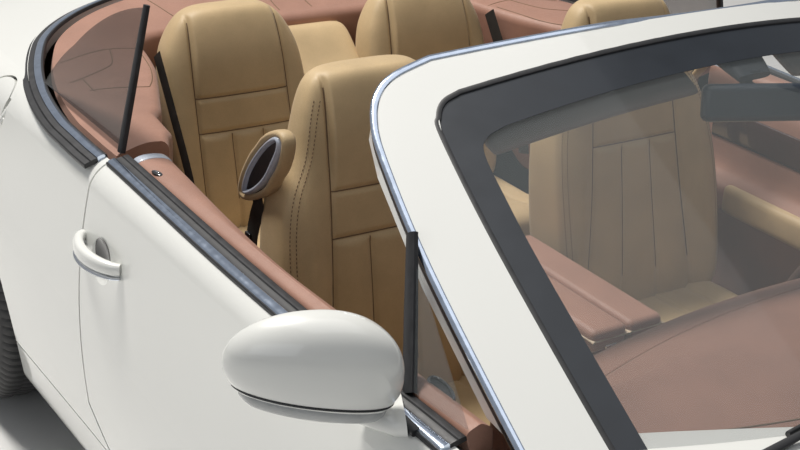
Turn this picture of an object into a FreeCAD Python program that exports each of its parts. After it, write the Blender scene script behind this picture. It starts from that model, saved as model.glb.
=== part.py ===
import FreeCAD, Part
import math
import os
from FreeCAD import Placement, Rotation, Vector

# An open four-seat grand tourer. The nose points to -Y and +X is the car's left. The origin is on
# the ground, midway between nose and tail. Stations are distances behind the nose.

doc = FreeCAD.newDocument("Convertible")
sheet = doc.addObject("Spreadsheet::Sheet", "Sizes")

sizeRows = (
    # alias, value in millimetres or degrees, what it measures
    ("body_length", 4904, "nose to tail"),
    ("body_width", 1916, "across the rear haunches"),
    ("front_overhang", 912, "nose to front axle"),
    ("wheelbase", 2908, "front axle to rear axle"),
    ("track_half", 811, "middle plane of a wheel from the middle of the car"),
    ("skin", 25, "outer panels, with their inner frames"),
    ("lid_skin", 20, "bonnet and boot lid"),
    ("frame_skin", 11, "inner body behind the panels"),
    ("seat_gap", 0.3, "between pieces that rest on each other"),
    ("panel_gap", 4, "shut line between fixed panels"),
    ("door_gap", 6, "shut line round doors and lids"),
    ("tyre_radius", 350, "tread"),
    ("tyre_width", 275, "over the sidewalls"),
    ("rim_radius", 254, "bead seat"),
    ("arch_gap", 36, "tyre to wheel-arch lip"),
    ("steer_room", 92, "tyre to front liner, for steering"),
    ("steered_reach", 356, "tyre middle to inner liner wall of a front wheel"),
    ("rear_reach", 190, "tyre middle to inner liner wall of a rear wheel"),
    ("screen_rake", 25.8, "windscreen against the ground"),
    ("screen_radius", 2220, "windscreen curvature"),
    ("header_station", 2256, "middle of the header"),
    ("header_height", 1341, "top of the header above ground"),
    ("glass", 5, "glass thickness"),
    ("door_front", 1600, "front shut line of the doors"),
    ("door_back", 2952, "rear end of the doors"),
    ("haunch_station", 3657, "where the cockpit's sides turn in behind the rear seats"),
    ("door_bottom", 330, "lower edge of the doors"),
    ("door_inner", 790, "inner face of a door from the middle"),
    ("hinge_station", 1545, "door hinge axis"),
    ("hinge_offset", 872, "door hinge axis from the middle"),
    ("belt_inner", 832, "inner edge of the door top"),
    ("bonnet_front", 88, "leading edge of the bonnet"),
    ("bonnet_back", 1395, "rear edge of the bonnet"),
    ("boot_front", 4190, "front edge of the boot lid"),
    ("boot_half", 560, "half width of the boot lid"),
    ("boot_bottom", 720, "lower edge of the boot lid"),
    ("flap_radius", 66, "fuel flap"),
    ("seat_offset", 383, "middle of a front seat from the middle"),
    ("rear_seat_offset", 290, "middle of a rear seat from the middle"),
    ("wheel_rim", 185, "steering wheel radius to the middle of its rim"),
    ("wheel_grip", 16, "steering wheel rim thickness, radius"),
    ("column_rake", 24, "steering column against the ground"),
)
for line, (alias, value, note) in enumerate(sizeRows, 1):
    sheet.set(f"A{line}", alias)
    sheet.set(f"B{line}", str(value))
    sheet.setAlias(f"B{line}", alias)
    sheet.set(f"C{line}", note)
doc.recompute()


class Sizes:
    def __getattr__(self, alias):
        return float(getattr(sheet, alias))


size = Sizes()
halfLength = size.body_length / 2
halfWidth = size.body_width / 2
frontAxle = size.front_overhang
rearAxle = size.front_overhang + size.wheelbase
haunch = size.haunch_station
sides = (("right", -1), ("left", 1))


def at(x, station, z):
    return Vector(x, station - halfLength, z)


def mirrored(shape):
    return shape.mirror(Vector(0, 0, 0), Vector(1, 0, 0))


def sided(shape, side):
    # a shape drawn on the left, on the side asked for
    return shape if side > 0 else mirrored(shape)


def both(shape):
    return shape.fuse(mirrored(shape))


def box(x0, x1, station0, station1, z0, z1):
    return Part.makeBox(x1 - x0, station1 - station0, z1 - z0, at(x0, station0, z0))


def rod(start, end, radius):
    way = end - start
    return Part.makeCylinder(radius, way.Length, start, way)


def merged(shapes):
    whole = shapes[0].multiFuse(shapes[1:]) if len(shapes) > 1 else shapes[0]
    plain = whole.removeSplitter()
    return plain if plain.isValid() else whole


def polygon(points):
    return Part.makePolygon(points + points[:1])


def sidePrism(points, x0, x1):
    # an outline of (station, z) points, swept across the car
    face = Part.Face(polygon([at(x0, station, z) for station, z in points]))
    return face.extrude(Vector(x1 - x0, 0, 0))


def planPrism(wire, z0, z1):
    face = Part.Face(wire)
    face.translate(Vector(0, 0, z0))
    return face.extrude(Vector(0, 0, z1 - z0))


def arcEdge(start, middle, end):
    return Part.Arc(start, middle, end).toShape()


# Body sections

sectionRows = (
    # measured from, station, half width, floor, waist, shoulder in, shoulder height, radius, crown
    (0, 0, 330, 340, 470, 20, 600, 30, 645),
    (0, 30, 470, 265, 470, 30, 650, 35, 700),
    (0, 90, 620, 220, 470, 40, 690, 45, 752),
    (0, 190, 750, 200, 490, 45, 725, 55, 800),
    (0, 350, 855, 185, 510, 45, 755, 70, 845),
    (0, 600, 925, 172, 530, 47, 780, 80, 890),
    (frontAxle, 0, 950, 168, 550, 50, 805, 85, 935),
    (frontAxle, 390, 948, 164, 560, 45, 852, 75, 966),
    (frontAxle, 890, 941, 160, 580, 42, 890, 60, 990),
    (haunch, -1250, 938, 160, 600, 38, 896, 60, 996),
    (haunch, -650, 943, 165, 620, 31, 897, 70, 1000),
    (haunch, 0, 958, 172, 660, 56, 897, 98, 1006),
    (size.body_length, -650, 930, 185, 680, 60, 880, 110, 998),
    (size.body_length, -300, 862, 215, 690, 60, 850, 108, 962),
    (size.body_length, -124, 785, 245, 680, 60, 818, 90, 925),
    (size.body_length, -44, 690, 285, 660, 55, 780, 75, 885),
    (size.body_length, 0, 520, 360, 620, 45, 720, 50, 812),
)


def bend(start, angle, end):
    # the middle of the arc that leaves start at an angle and reaches end, and its angle there
    chord = math.atan2(end[1] - start[1], end[0] - start[0])
    reach = math.dist(start, end) / (2 * math.cos((chord - angle) / 2))
    lean = (angle + chord) / 2
    middle = (start[0] + reach * math.cos(lean), start[1] + reach * math.sin(lean))
    return middle, 2 * chord - angle


def halfSection(row, inset):
    # the left half: floor corner, lower side, upper side, shoulder and half of the crown
    _, _, width, floor, waist, tuck, shoulder, radius, crown = row
    scale = min(1.0, width / 600)
    half = width - 958 + halfWidth - inset
    ground = floor + inset
    corner = (half - 120 * scale, ground)
    sill = (half - 45 * scale, ground + 62 * scale)
    side = (half, waist)
    upper = (half - tuck, shoulder - inset * 0.6)
    bow = max(radius - inset, radius / 3)
    top = crown - inset
    middle1, _ = bend(corner, 0.0, sill)
    middle2, _ = bend(side, -math.pi / 2, sill)
    middle3, angle = bend(side, math.pi / 2, upper)
    end = math.pi
    for _ in range(30):
        crownStart = (
            upper[0] + bow * (math.sin(end) - math.sin(angle)),
            upper[1] + bow * (math.cos(angle) - math.cos(end)),
        )
        end = math.pi - 2 * math.atan2(top - crownStart[1], crownStart[0])
    half_way = (angle + end) / 2
    middle4 = (
        upper[0] + bow * (math.sin(half_way) - math.sin(angle)),
        upper[1] + bow * (math.cos(angle) - math.cos(half_way)),
    )
    points = (corner, middle1, sill, middle2, side, middle3, upper, middle4, crownStart)
    return points, top


def sectionWire(row, inset):
    points, top = halfSection(row, inset)
    squeeze = (halfLength - inset) / halfLength
    station = halfLength + (row[0] + row[1] - halfLength) * squeeze
    left = [at(x, station, z) for x, z in points]
    right = [at(-x, station, z) for x, z in points]
    edges = [Part.LineSegment(right[0], left[0]).toShape()]
    edges += [arcEdge(left[i], left[i + 1], left[i + 2]) for i in (0, 2, 4, 6)]
    edges.append(arcEdge(left[8], at(0, station, top), right[8]))
    edges += [arcEdge(right[i + 2], right[i + 1], right[i]) for i in (6, 4, 2, 0)]
    # the arcs in their simplest rational form keep the lofted faces light
    return Part.Wire([edge.toNurbs().Edges[0] for edge in edges])


def bodyForm(inset):
    return Part.makeLoft([sectionWire(row, inset) for row in sectionRows], True, False)


outer = bodyForm(0)
proud = bodyForm(-size.seat_gap)
shell = outer.cut(bodyForm(size.skin))
lidInner = bodyForm(size.lid_skin)
frameOuter = bodyForm(size.skin + size.seat_gap)
frameInner = bodyForm(size.skin + size.seat_gap + size.frame_skin)
innerFit = bodyForm(size.skin + 2 * size.seat_gap + size.frame_skin)


def crownHeight(station):
    # height of the body on the centre line
    line = Part.makeLine(at(0, station, 400), at(0, station, 1500))
    return max(v.Z for v in outer.common(line).Vertexes)


# Openings in the body

def rimWire(inset):
    # outer edge of the cockpit in plan, from the screen's foot round the back
    turn = haunch + 58
    back = haunch + 290
    wide = halfWidth - 93 - inset
    front = [(0, 1500 + inset), (400, 1582 + inset), (640, 1712 + inset)]
    foot = (halfWidth - 122 - inset, 1815)
    straight = (wide, haunch - 560)
    corner = (halfWidth - 238 - inset * 0.92, turn - inset * 0.4)
    rear = (halfWidth - 524 - inset * 0.5, back - inset * 0.86)
    tail = (0, haunch + 359 - inset)

    def half(sign):
        def place(x, station):
            return at(sign * x, station, 0)

        shoulder, angle = bend(straight, math.pi / 2, corner)
        haunch, _ = bend(corner, angle + 0.06, rear)
        return (
            [place(*p) for p in front + [foot, straight]],
            [place(*p) for p in (straight, shoulder, corner, haunch, rear)],
        )

    leftFront, leftBack = half(1)
    rightFront, rightBack = half(-1)
    edges = [arcEdge(rightFront[1], rightFront[0], leftFront[1])]
    edges.append(Part.makeLine(leftFront[1], leftFront[2]))
    edges.append(Part.makeLine(leftFront[2], leftFront[3]))
    edges.append(Part.makeLine(leftFront[3], leftFront[4]))
    edges.append(arcEdge(leftBack[0], leftBack[1], leftBack[2]))
    edges.append(arcEdge(leftBack[2], leftBack[3], leftBack[4]))
    edges.append(arcEdge(leftBack[4], at(0, tail[1], 0), rightBack[4]))
    edges.append(arcEdge(rightBack[4], rightBack[3], rightBack[2]))
    edges.append(arcEdge(rightBack[2], rightBack[1], rightBack[0]))
    edges.append(Part.makeLine(rightFront[4], rightFront[3]))
    edges.append(Part.makeLine(rightFront[3], rightFront[2]))
    edges.append(Part.makeLine(rightFront[2], rightFront[1]))
    return Part.Wire(edges)


floorTop = 190
tunnelHalf = 100
tunnelTop = 330
padHeight = 146
padStations = (1640, 2780)
bootFloor = 352
towEye = at(505, 96, 288)
towRadius = 9
towDepth = 46
cockpit = planPrism(rimWire(0), 600, 1400)
bonnetTop = crownHeight(size.bonnet_back)
bootTop = crownHeight(size.boot_front)


def bonnetPrism(gap, backGap):
    edges = (
        (250, size.bonnet_front - gap),
        (330 + gap, size.bonnet_front + 20 - gap),
        (455 + gap, 250),
        (650 + gap, 560),
        (700 + gap, frontAxle),
        (690 + gap, size.bonnet_back + backGap),
    )
    left = [at(x, station, 0) for x, station in edges]
    right = [at(-x, station, 0) for x, station in reversed(edges)]
    return planPrism(polygon(left + right), 600, 1300)


def bootPrism(gap, frontGap):
    half = size.boot_half + gap
    return box(-half, half, size.boot_front - frontGap, size.body_length + 50,
               size.boot_bottom - gap, 1300)


def doorPrism(gap):
    # side outline of a door opening, above the sill
    back = size.door_back + gap
    front = size.hinge_station - 45 - gap
    low = size.door_bottom - gap
    points = [(front, low), (back - 90, low), (back, low + 90), (back, 1200), (front, 1200)]
    return sidePrism(points, size.door_inner - 15 - gap, 1100)


def hingeCylinder(radius):
    foot = at(size.hinge_offset, size.hinge_station, size.door_bottom - 60)
    return Part.makeCylinder(radius, 900, foot)


hingeSweep = math.hypot(size.door_front - size.hinge_station, halfWidth - 17 - size.hinge_offset)
doorSweep = math.hypot(size.door_back - size.hinge_station, halfWidth - 18 - size.hinge_offset)
wingEnd = hingeSweep - size.door_gap


def doorHole():
    # what a left door and its swing keep clear of, in the fixed panels
    zone = doorPrism(size.door_gap).cut(hingeCylinder(wingEnd))
    ahead = box(0, 1100, size.hinge_station - 80, size.hinge_station + size.seat_gap, 0, 1300)
    return zone.cut(ahead)


doorHoles = both(doorHole())


def wheelHole(axle, lip, room, reach):
    # a left arch: the lip in the skin, and the wider space inside it
    inner = size.track_half - reach
    lipHole = rod(at(halfWidth - 90, axle, size.tyre_radius),
                  at(halfWidth + 60, axle, size.tyre_radius), size.tyre_radius + lip)
    space = rod(at(inner, axle, size.tyre_radius),
                at(halfWidth - 58, axle, size.tyre_radius), size.tyre_radius + room)
    return lipHole.fuse(space)


frontHole = wheelHole(frontAxle, size.arch_gap, size.steer_room, size.steered_reach)
rearHole = wheelHole(rearAxle, size.arch_gap, size.arch_gap + 10, size.rear_reach)
wheelHoles = both(frontHole).fuse(both(rearHole))

bumperLine = [(-20, 100), (-20, 820), (size.bonnet_front - 6, 820), (140, 690), (520, 640), (520, 100)]
tailLine = (
    (size.body_length + 20, 100), (size.body_length + 20, 640), (size.body_length - 240, 640),
    (size.body_length - 440, 560), (size.body_length - 560, 440), (size.body_length - 560, 100),
)
sillTop = size.door_bottom - size.door_gap
sillFront = frontAxle + 380
sillBack = rearAxle - 380


def grown(points, gap):
    wire = polygon([at(0, station, z) for station, z in points]).makeOffset2D(gap, 2)
    return Part.Face(wire).extrude(Vector(2200, 0, 0)).translated(Vector(-1100, 0, 0))


bumperZone = sidePrism(bumperLine, -1100, 1100)
bumperRoom = grown(bumperLine, size.panel_gap)
tailZone = sidePrism(tailLine, -1100, 1100)
tailRoom = grown(tailLine, size.panel_gap)
sillZone = both(box(800, 1100, sillFront - 70, sillBack + 70, 100, sillTop))
sillRoom = both(box(800, 1100, sillFront - 70 - size.panel_gap, sillBack + 70 + size.panel_gap,
                    100, sillTop + size.panel_gap))
floorZone = box(-796, 796, 524, size.body_length - 564, 100, 300)
floorRoom = box(-800, 800, 520, size.body_length - 560, 100, 304)
bonnetRoom = bonnetPrism(size.door_gap, 9)
bootRoom = bootPrism(size.door_gap, 11)

# Lamps and apertures

lampRows = (
    # x, height, radius of a headlamp
    (556, 672, 92),
    (742, 668, 76),
)
tailLampRow = (618, 738, 112, 70)  # x, height, half width, half height
grilleHalf = 318
grilleLow = 392
grilleHigh = 612
intakeLow = 262
intakeHigh = 338
intakeHalf = 420


def lampCore(gap):
    return merged([
        rod(at(x, -50, z), at(x, 620, z), radius + gap) for x, z, radius in lampRows
    ])


def ovalPrism(x, z, wide, tall, station0, station1, gap):
    centre = at(x, station0, z)
    oval = Part.Ellipse(centre, wide + gap, tall + gap).toShape()
    oval.rotate(centre, Vector(1, 0, 0), 90)
    return Part.Face(Part.Wire(oval)).extrude(Vector(0, station1 - station0, 0))


def tailCore(gap):
    x, z, wide, tall = tailLampRow
    return ovalPrism(x, z, wide, tall, size.body_length - 420, size.body_length + 40, gap)


def aperture(half, low, high, gap, depth):
    outline = box(-half - gap, half + gap, -30, depth, low - gap, high + gap)
    edges = [e for e in outline.Edges if abs(e.tangentAt(e.FirstParameter).y) > 0.9]
    return outline.makeFillet(28 + gap, edges)


noseHoles = aperture(grilleHalf, grilleLow, grilleHigh, 0, 200).fuse(
    aperture(intakeHalf, intakeLow, intakeHigh, 0, 320))
lampHoles = both(lampCore(size.panel_gap))
tailHoles = both(tailCore(size.panel_gap))
skin = shell.cut([cockpit, wheelHoles, doorHoles, lampHoles, tailHoles, noseHoles])

# Fuel flap on the right haunch

flapAxisTilt = 52
flapCentre = at(-(halfWidth - 52), haunch - 118, 893)
flapNormal = Vector(-math.sin(math.radians(flapAxisTilt)), 0, math.cos(math.radians(flapAxisTilt)))


def flapCore(radius):
    return Part.makeCylinder(radius, 170, flapCentre - flapNormal * 85, flapNormal)


# Hinges of the lids: fixed ears with a pin, and a knuckle that turns on it

hingeBarrel = 8
hingePin = 4.5


def lidHinge(x, station, z, fixedWay, movingWay, reach):
    # ears at both ends, the knuckle between them; each has a strap to what it belongs to
    def barrel(x0, x1, radius):
        return rod(at(x0, station, z), at(x1, station, z), radius)

    def strap(x0, x1, way):
        lo, hi = sorted((0, way * reach))
        return box(x0, x1, station + lo, station + hi, z - hingeBarrel, z + 2)

    pin = barrel(x - 30, x + 30, hingePin)
    ears = merged([
        barrel(x - 34, x - 14, hingeBarrel), barrel(x + 14, x + 34, hingeBarrel),
        strap(x - 34, x - 14, fixedWay), strap(x + 14, x + 34, fixedWay), pin,
    ])
    bore = barrel(x - 13, x + 13, hingePin + size.seat_gap)
    knuckle = merged([
        barrel(x - 13, x + 13, hingeBarrel), strap(x - 13, x + 13, movingWay)]).cut(bore)
    room = barrel(x - 40, x + 40, hingeBarrel + 5)
    return ears, knuckle, room


hingeSpread = 130
bonnetAxis = (size.bonnet_back - 5, bonnetTop - 11)
bootAxis = (size.boot_front + 5, bootTop - 11)
bonnetHinges = [lidHinge(x, *bonnetAxis, 1, -1, 30) for x in (-hingeSpread, hingeSpread)]
bootHinges = [lidHinge(x, *bootAxis, -1, 1, 30) for x in (-hingeSpread, hingeSpread)]


def withFixed(panel, hinges):
    rooms = merged([h[2] for h in hinges])
    return merged([panel.cut(rooms)] + [h[0] for h in hinges])


def withMoving(panel, hinges):
    rooms = merged([h[2] for h in hinges])
    return merged([panel.cut(rooms)] + [h[1] for h in hinges])


# Outer panels

def largest(shape, count=1):
    found = sorted(shape.Solids, key=lambda s: s.Volume, reverse=True)[:count]
    return found[0] if count == 1 else Part.makeCompound(found)


def frontBumper():
    panel = largest(skin.common(bumperZone).cut(bonnetRoom))
    boss = rod(towEye - Vector(0, 60, 0), towEye + Vector(0, 60, 0), 22).common(outer)
    mouth = rod(towEye - Vector(0, 80, 0), towEye, 16)
    hole = rod(towEye, towEye + Vector(0, towDepth, 0), towRadius)
    return panel.fuse(boss).cut([mouth, hole])


def frontWings():
    zone = box(-1100, 1100, 60, 1700, 100, 1300)
    panel = skin.common(zone).cut([bumperRoom, bonnetRoom, sillRoom, floorRoom, scuttleRoom])
    return largest(panel, 2)


scuttleHalf = 684
scuttleZone = box(-scuttleHalf, scuttleHalf, size.bonnet_back + 9, 1900, 700, 1300)
scuttleRoom = box(-scuttleHalf - size.panel_gap, scuttleHalf + size.panel_gap,
                  size.bonnet_back + 9, 1900, 700, 1300)


def scuttle():
    panel = largest(skin.common(scuttleZone))
    return withFixed(panel, bonnetHinges)


def bonnet():
    panel = largest(outer.common(bonnetPrism(0, 0)).cut(lidInner))
    return withMoving(panel, bonnetHinges)


def sills():
    return largest(skin.common(sillZone), 2)


def rearWings():
    zone = box(-1100, 1100, size.door_back - 90, size.body_length + 20, 100, 1300)
    panel = skin.common(zone).cut([
        tailRoom, bootRoom, sillRoom, floorRoom, flapCore(size.flap_radius + size.door_gap),
        flapRoom()])
    return merged([withFixed(largest(panel), bootHinges), flapEars()])


def rearBumper():
    panel = skin.common(tailZone)
    below = box(-600, 600, size.body_length - 570, size.body_length - 200, 100, 320)
    return largest(panel.cut([bootRoom, floorRoom, pipeHoles(62), below]))


def bootLid():
    panel = largest(outer.common(bootPrism(0, 0)).cut([lidInner, tailHoles]))
    return withMoving(panel, bootHinges)


# The flap's hinge stands in the gap at its front edge, close under the surface

flapBarrel = 4.5
flapPin = 2
flapEarWidth = 8


def flapHingeLine(length):
    along = flapNormal.cross(Vector(0, 1, 0))
    spot = flapEdge() + flapNormal * flapSink()
    return spot - along * (length / 2), along


def flapEdge():
    return flapCentre - Vector(0, size.flap_radius + 2, 0)


def flapSink():
    # how far the axis lies along the flap's normal, just under the skin
    inside = outer.common(Part.makeLine(flapEdge() - flapNormal * 60, flapEdge() + flapNormal * 120))
    return max((v.Point - flapCentre).dot(flapNormal) for v in inside.Vertexes) - flapBarrel


def flapRoom():
    return Part.makeCylinder(flapBarrel + 7, 60, *flapHingeLine(60))


def flapEars():
    length = 26 + 2 * (flapEarWidth + 1)
    start, along = flapHingeLine(length)
    feet = [Part.makeCylinder(flapPin, length, start, along)]
    for offset in (0, length - flapEarWidth):
        eye = start + along * offset
        feet.append(Part.makeCylinder(flapBarrel, flapEarWidth, eye, along))
        way = (flapNormal * -0.55 + Vector(0, -0.83, 0)).normalize()
        middle = eye + along * (flapEarWidth / 2)
        feet.append(rod(middle, middle + way * 22, 3.5))
    return merged(feet)


def fuelFlap():
    disc = largest(outer.common(flapCore(size.flap_radius)).cut(lidInner)).cut(flapRoom())
    start, along = flapHingeLine(26)
    knuckle = Part.makeCylinder(flapBarrel, 26, start, along)
    strap = rod(start + along * 13, start + along * 13 + Vector(0, 24, 0) - flapNormal * 4, 3.5)
    bore = Part.makeCylinder(flapPin + size.seat_gap, 60, *flapHingeLine(60))
    return merged([disc, knuckle, strap]).cut(bore)


# Inner body

def bodyFrame():
    rooms = [
        wheelHoles, linerRooms(), doorHoles, planPrism(rimWire(-6), 600, 1400),
        bonnetPrism(-34, -34), bootPrism(-34, -34), noseHoles,
        both(lampCore(size.seat_gap)), both(tailCore(size.seat_gap)), pipeHoles(62),
        hingeSlots(hingeSweep + 18),
        box(-1100, 1100, -50, size.body_length + 50, 0, 312),
        flapCore(size.flap_radius - 8), box(-1100, 1100, -50, 60, 0, 1300),
        Part.makeCylinder(flapBarrel + 8, 80, *flapHingeLine(80)),
    ]
    rooms += [hinge[2] for hinge in bonnetHinges + bootHinges]
    return frameOuter.cut([frameInner] + rooms)


def pipeHoles(radius):
    start = size.body_length - 500
    return both(rod(at(520, start, 262), at(520, start + 560, 262), radius))


def hingeSlots(radius):
    # room for the door hinge arms to swing
    slots = [Part.makeCylinder(radius, 62, at(size.hinge_offset, size.hinge_station, z - 31))
             for z in hingeHeights]
    return both(slots[0].fuse(slots[1]))


hingeHeights = (455, 745)
archRows = (
    # axle, room round the tyre, reach inwards
    (frontAxle, size.steer_room, size.steered_reach),
    (rearAxle, size.arch_gap + 10, size.rear_reach),
)


def linerForm(axle, room, reach, gap):
    inner = size.track_half - reach - 8 - gap
    return rod(at(inner, axle, size.tyre_radius), at(halfWidth - 90, axle, size.tyre_radius),
               size.tyre_radius + room + 8 + gap)


def linerRooms():
    return both(merged([linerForm(*row, size.seat_gap) for row in archRows]))


def archLiners(row, hole):
    # the walls round both wheels of an axle: a barrel and its inner end
    keep = box(0, 1100, row[0] - 600, row[0] + 600, floorTop + 20, 1000)
    wall = linerForm(*row, 0).common(keep).common(frameOuter).cut(hole)
    return Part.makeCompound([largest(wall), mirrored(largest(wall))])


def hingePost():
    # the left door post with the lugs and pins of its hinges
    post = box(size.hinge_offset - 62, size.hinge_offset + 18, size.hinge_station - 95,
               size.hinge_station - 30, 320, 900).common(frameOuter)
    lugs = []
    for z in hingeHeights:
        for low in (z - 44, z + 26):
            lugs.append(box(size.hinge_offset - 14, size.hinge_offset + 14,
                            size.hinge_station - 60, size.hinge_station + 14, low, low + 18))
        lugs.append(rod(at(size.hinge_offset, size.hinge_station, z - 40),
                        at(size.hinge_offset, size.hinge_station, z + 40), 9))
    return merged([post] + lugs).cut(linerRooms())


frameSplit = 2250
wholeFrame = bodyFrame()


def frontStructure():
    frame = wholeFrame.common(box(-1100, 1100, 0, frameSplit, 0, 1300))
    firewall = innerBulkhead(1440, 1462, 880).cut(linerRooms())
    post = hingePost()
    return largest(merged([frame, firewall, post, mirrored(post)]))


def rearStructure():
    # the wall and floor of the boot stop short of the rear tyres at both sides
    frame = wholeFrame.common(box(-1100, 1100, frameSplit + size.seat_gap, size.body_length, 0, 1300))
    inside = box(-862, 862, haunch, size.body_length, 0, 1300)
    rearWall = innerBulkhead(haunch + 378, haunch + 398, 930).common(inside)
    deck = box(-862, 862, haunch + 390, size.body_length - 120, bootFloor - 14, bootFloor)
    deck = deck.common(frameOuter).cut(tailHoles)
    plates = [plate.cut(linerRooms()) for plate in (rearWall, deck)]
    return largest(merged([frame] + [largest(plate) for plate in plates]))


def innerBulkhead(station0, station1, top):
    plate = box(-1000, 1000, station0, station1, floorTop + size.seat_gap, top)
    return plate.common(frameOuter).cut(planPrism(rimWire(4), 870, 1400))


def floorTub():
    # the flat floor, the shaft tunnel, and the side members beside the doors
    pan = skin.common(floorZone)
    tunnel = box(-tunnelHalf, tunnelHalf, 1462 + size.seat_gap, haunch + 100, floorTop - 5, tunnelTop).cut(
        box(-tunnelHalf + 14, tunnelHalf - 14, 1400, haunch + 90, 100, tunnelTop - 14))
    members = both(box(size.door_inner - 75, size.door_inner - 21, 1480, size.door_back + 40,
                       floorTop - 12, 318))
    pads = [box(side * 735 - 32, side * 735 + 32, station - 45, station + 45, padHeight, floorTop)
            for side in (-1, 1) for station in padStations]
    return merged([largest(pan), tunnel, members] + pads)


deckTop = 962


# Doors

def doorBlock():
    block = outer.common(doorPrism(0))
    block = block.cut(box(0, size.door_inner, 1000, 4000, 0, 1300))
    block = block.cut(hingeCylinder(hingeSweep))
    block = block.cut(box(0, 1100, 1000, size.hinge_station + 4, 0, 1300))
    reach = hingeCylinder(doorSweep)
    block = block.common(reach)
    notch = box(0, size.belt_inner, 1000, 4000, trimSeat, 1300)
    block = block.cut(notch)
    return largest(block)


trimSeat = 904
trimFront = 1812
trimBack = 2940


def doorHingeArms():
    # each arm leaves the pin inwards, so that the open door clears the wing
    way = Vector(-math.sin(math.radians(60)), math.cos(math.radians(60)), 0)
    arms = []
    for z in hingeHeights:
        eye = Part.makeCylinder(17, 50, at(size.hinge_offset, size.hinge_station, z - 25))
        arm = Part.makeBox(hingeSweep + 12, 16, 50, Vector(0, -8, -25))
        turn = Rotation(Vector(1, 0, 0), way)
        arm.Placement = Placement(at(size.hinge_offset, size.hinge_station, z), turn)
        bore = Part.makeCylinder(9 + size.seat_gap, 60,
                                 at(size.hinge_offset, size.hinge_station, z - 30))
        arms.append(merged([eye, arm]).cut(bore))
    return arms


def doorShell():
    return merged([doorBlock().cut(handleBowl())] + doorHingeArms())


handleStation = 2856
handleHeight = 802


def handleBowl():
    # the oval hollow behind the handle
    centre = at(halfWidth - 10, handleStation, handleHeight - 8)
    bowl = Part.makeSphere(74, centre + Vector(38, 0, 0))
    return bowl


def doorHandle():
    bar = box(halfWidth - 18, halfWidth - 4, handleStation - 88, handleStation + 88,
              handleHeight - 13, handleHeight + 13)
    feet = [box(halfWidth - 40, halfWidth - 16, handleStation + end - 10, handleStation + end + 10,
                handleHeight - 9, handleHeight + 9) for end in (-76, 76)]
    bar = bar.makeFillet(5, bar.Edges)
    handle = merged([bar] + feet)
    return handle.cut(proud)


def doorTrim():
    # an L section: the padded top, the card below it and the armrest
    inner = size.door_inner - size.seat_gap
    seat = trimSeat + size.seat_gap
    outerTop = size.belt_inner - 1
    corner = [
        (inner, 345), (inner - 36, 345), (inner - 40, 560), (inner - 88, 600), (inner - 92, 640),
        (inner - 44, 668), (inner - 52, 820), (inner - 40, 905), (inner - 8, 942),
        (outerTop - 16, 951), (outerTop, 944), (outerTop, seat), (inner, seat),
    ]
    face = Part.Face(polygon([at(x, trimFront, z) for x, z in corner]))
    return face.extrude(Vector(0, trimBack - trimFront, 0))


def doorMirror():
    # a rounded head, swept back towards its outer end, on a stout arm
    head = Part.makeBox(226, 128, 176, Vector(-113, -64, -88))
    head = head.makeFillet(58, head.Edges)
    head.Placement = Placement(at(972, 1968, 1022), Rotation(Vector(0, 0, 1), 19))
    arm = merged([
        rod(at(846, 1906, 892), at(926, 1936, 964), 24),
        box(834, 874, 1866, 1950, 912, 934).cut(proud),
    ])
    return merged([head, arm.cut(proud)])


def quarterLight():
    foot = size.seat_gap + 951
    base = [at(806, 1822, foot), at(818, 1948, foot), at(750, 2072, 1122)]
    face = Part.Face(polygon(base))
    normal = face.normalAt(0, 0)
    return face.extrude(normal * size.glass)


def rearLights():
    # raised rear side glass
    lean = Vector(-0.218, 0, 0.976)
    foot = deckTop + size.seat_gap
    start = at(828, 2988, foot)

    def spot(station, z):
        return start + Vector(0, station - 2988, 0) + lean * ((z - foot) / lean.z)

    low = foot - 6
    front = Part.makeLine(spot(2988, low), spot(2996, 1238))
    curve = arcEdge(spot(2996, 1238), spot(3170, 1172), spot(3300, 1082))
    tail = arcEdge(spot(3300, 1082), spot(3372, 1025), spot(3430, low))
    face = Part.Face(Part.Wire([front, curve, tail, Part.makeLine(spot(3430, low), spot(2988, low))]))
    pane = face.extrude(face.normalAt(0, 0) * size.glass)
    return both(pane.cut(box(0, 1100, 2900, 3500, 900, foot)))


# Windscreen: drawn flat in its own plane, x across and s up the rake

screenPlace = Placement(at(0, size.header_station, size.header_height),
                        Rotation(Vector(1, 0, 0), size.screen_rake))


def screenBand(top, bottom):
    # the cylinder sheet between two depths under the glass line
    axis0 = Vector(0, -1200, -size.screen_radius)
    big = Part.makeCylinder(size.screen_radius - top, 1700, axis0, Vector(0, 1, 0))
    small = Part.makeCylinder(size.screen_radius - bottom, 1700, axis0, Vector(0, 1, 0))
    return big.cut(small)


def screenOutline(rows, arch):
    left = [Vector(x, s, -600) for x, s in rows]
    right = [Vector(-x, s, -600) for x, s in reversed(rows)]
    edges = [Part.makeLine(a, b) for a, b in zip(left, left[1:])]
    edges.append(arcEdge(left[-1], Vector(0, arch, -600), right[0]))
    edges += [Part.makeLine(a, b) for a, b in zip(right, right[1:])]
    edges.append(Part.makeLine(right[-1], left[0]))
    return Part.Face(Part.Wire(edges)).extrude(Vector(0, 0, 900))


frameEdge = ((778, -800), (768, -622), (741, -314), (709, -104), (688, -30), (660, 14), (622, 36), (556, 45))
glassEdge = ((672, -1060), (667, -680), (642, -339), (615, -109), (600, -66), (578, -42), (545, -34))


def windscreenFrame():
    ring = screenOutline(frameEdge, 0).cut(screenOutline(glassEdge, -46))
    band = screenBand(-4, 38).common(ring)
    band.Placement = screenPlace
    keep = largest(band.cut(proud))
    return keep


def windscreen():
    rows = [(x - size.seat_gap, s - size.seat_gap) for x, s in glassEdge]
    pane = screenBand(0, size.glass).common(screenOutline(rows, -46 - size.seat_gap))
    pane.Placement = screenPlace
    return largest(pane.cut(proud))


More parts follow.
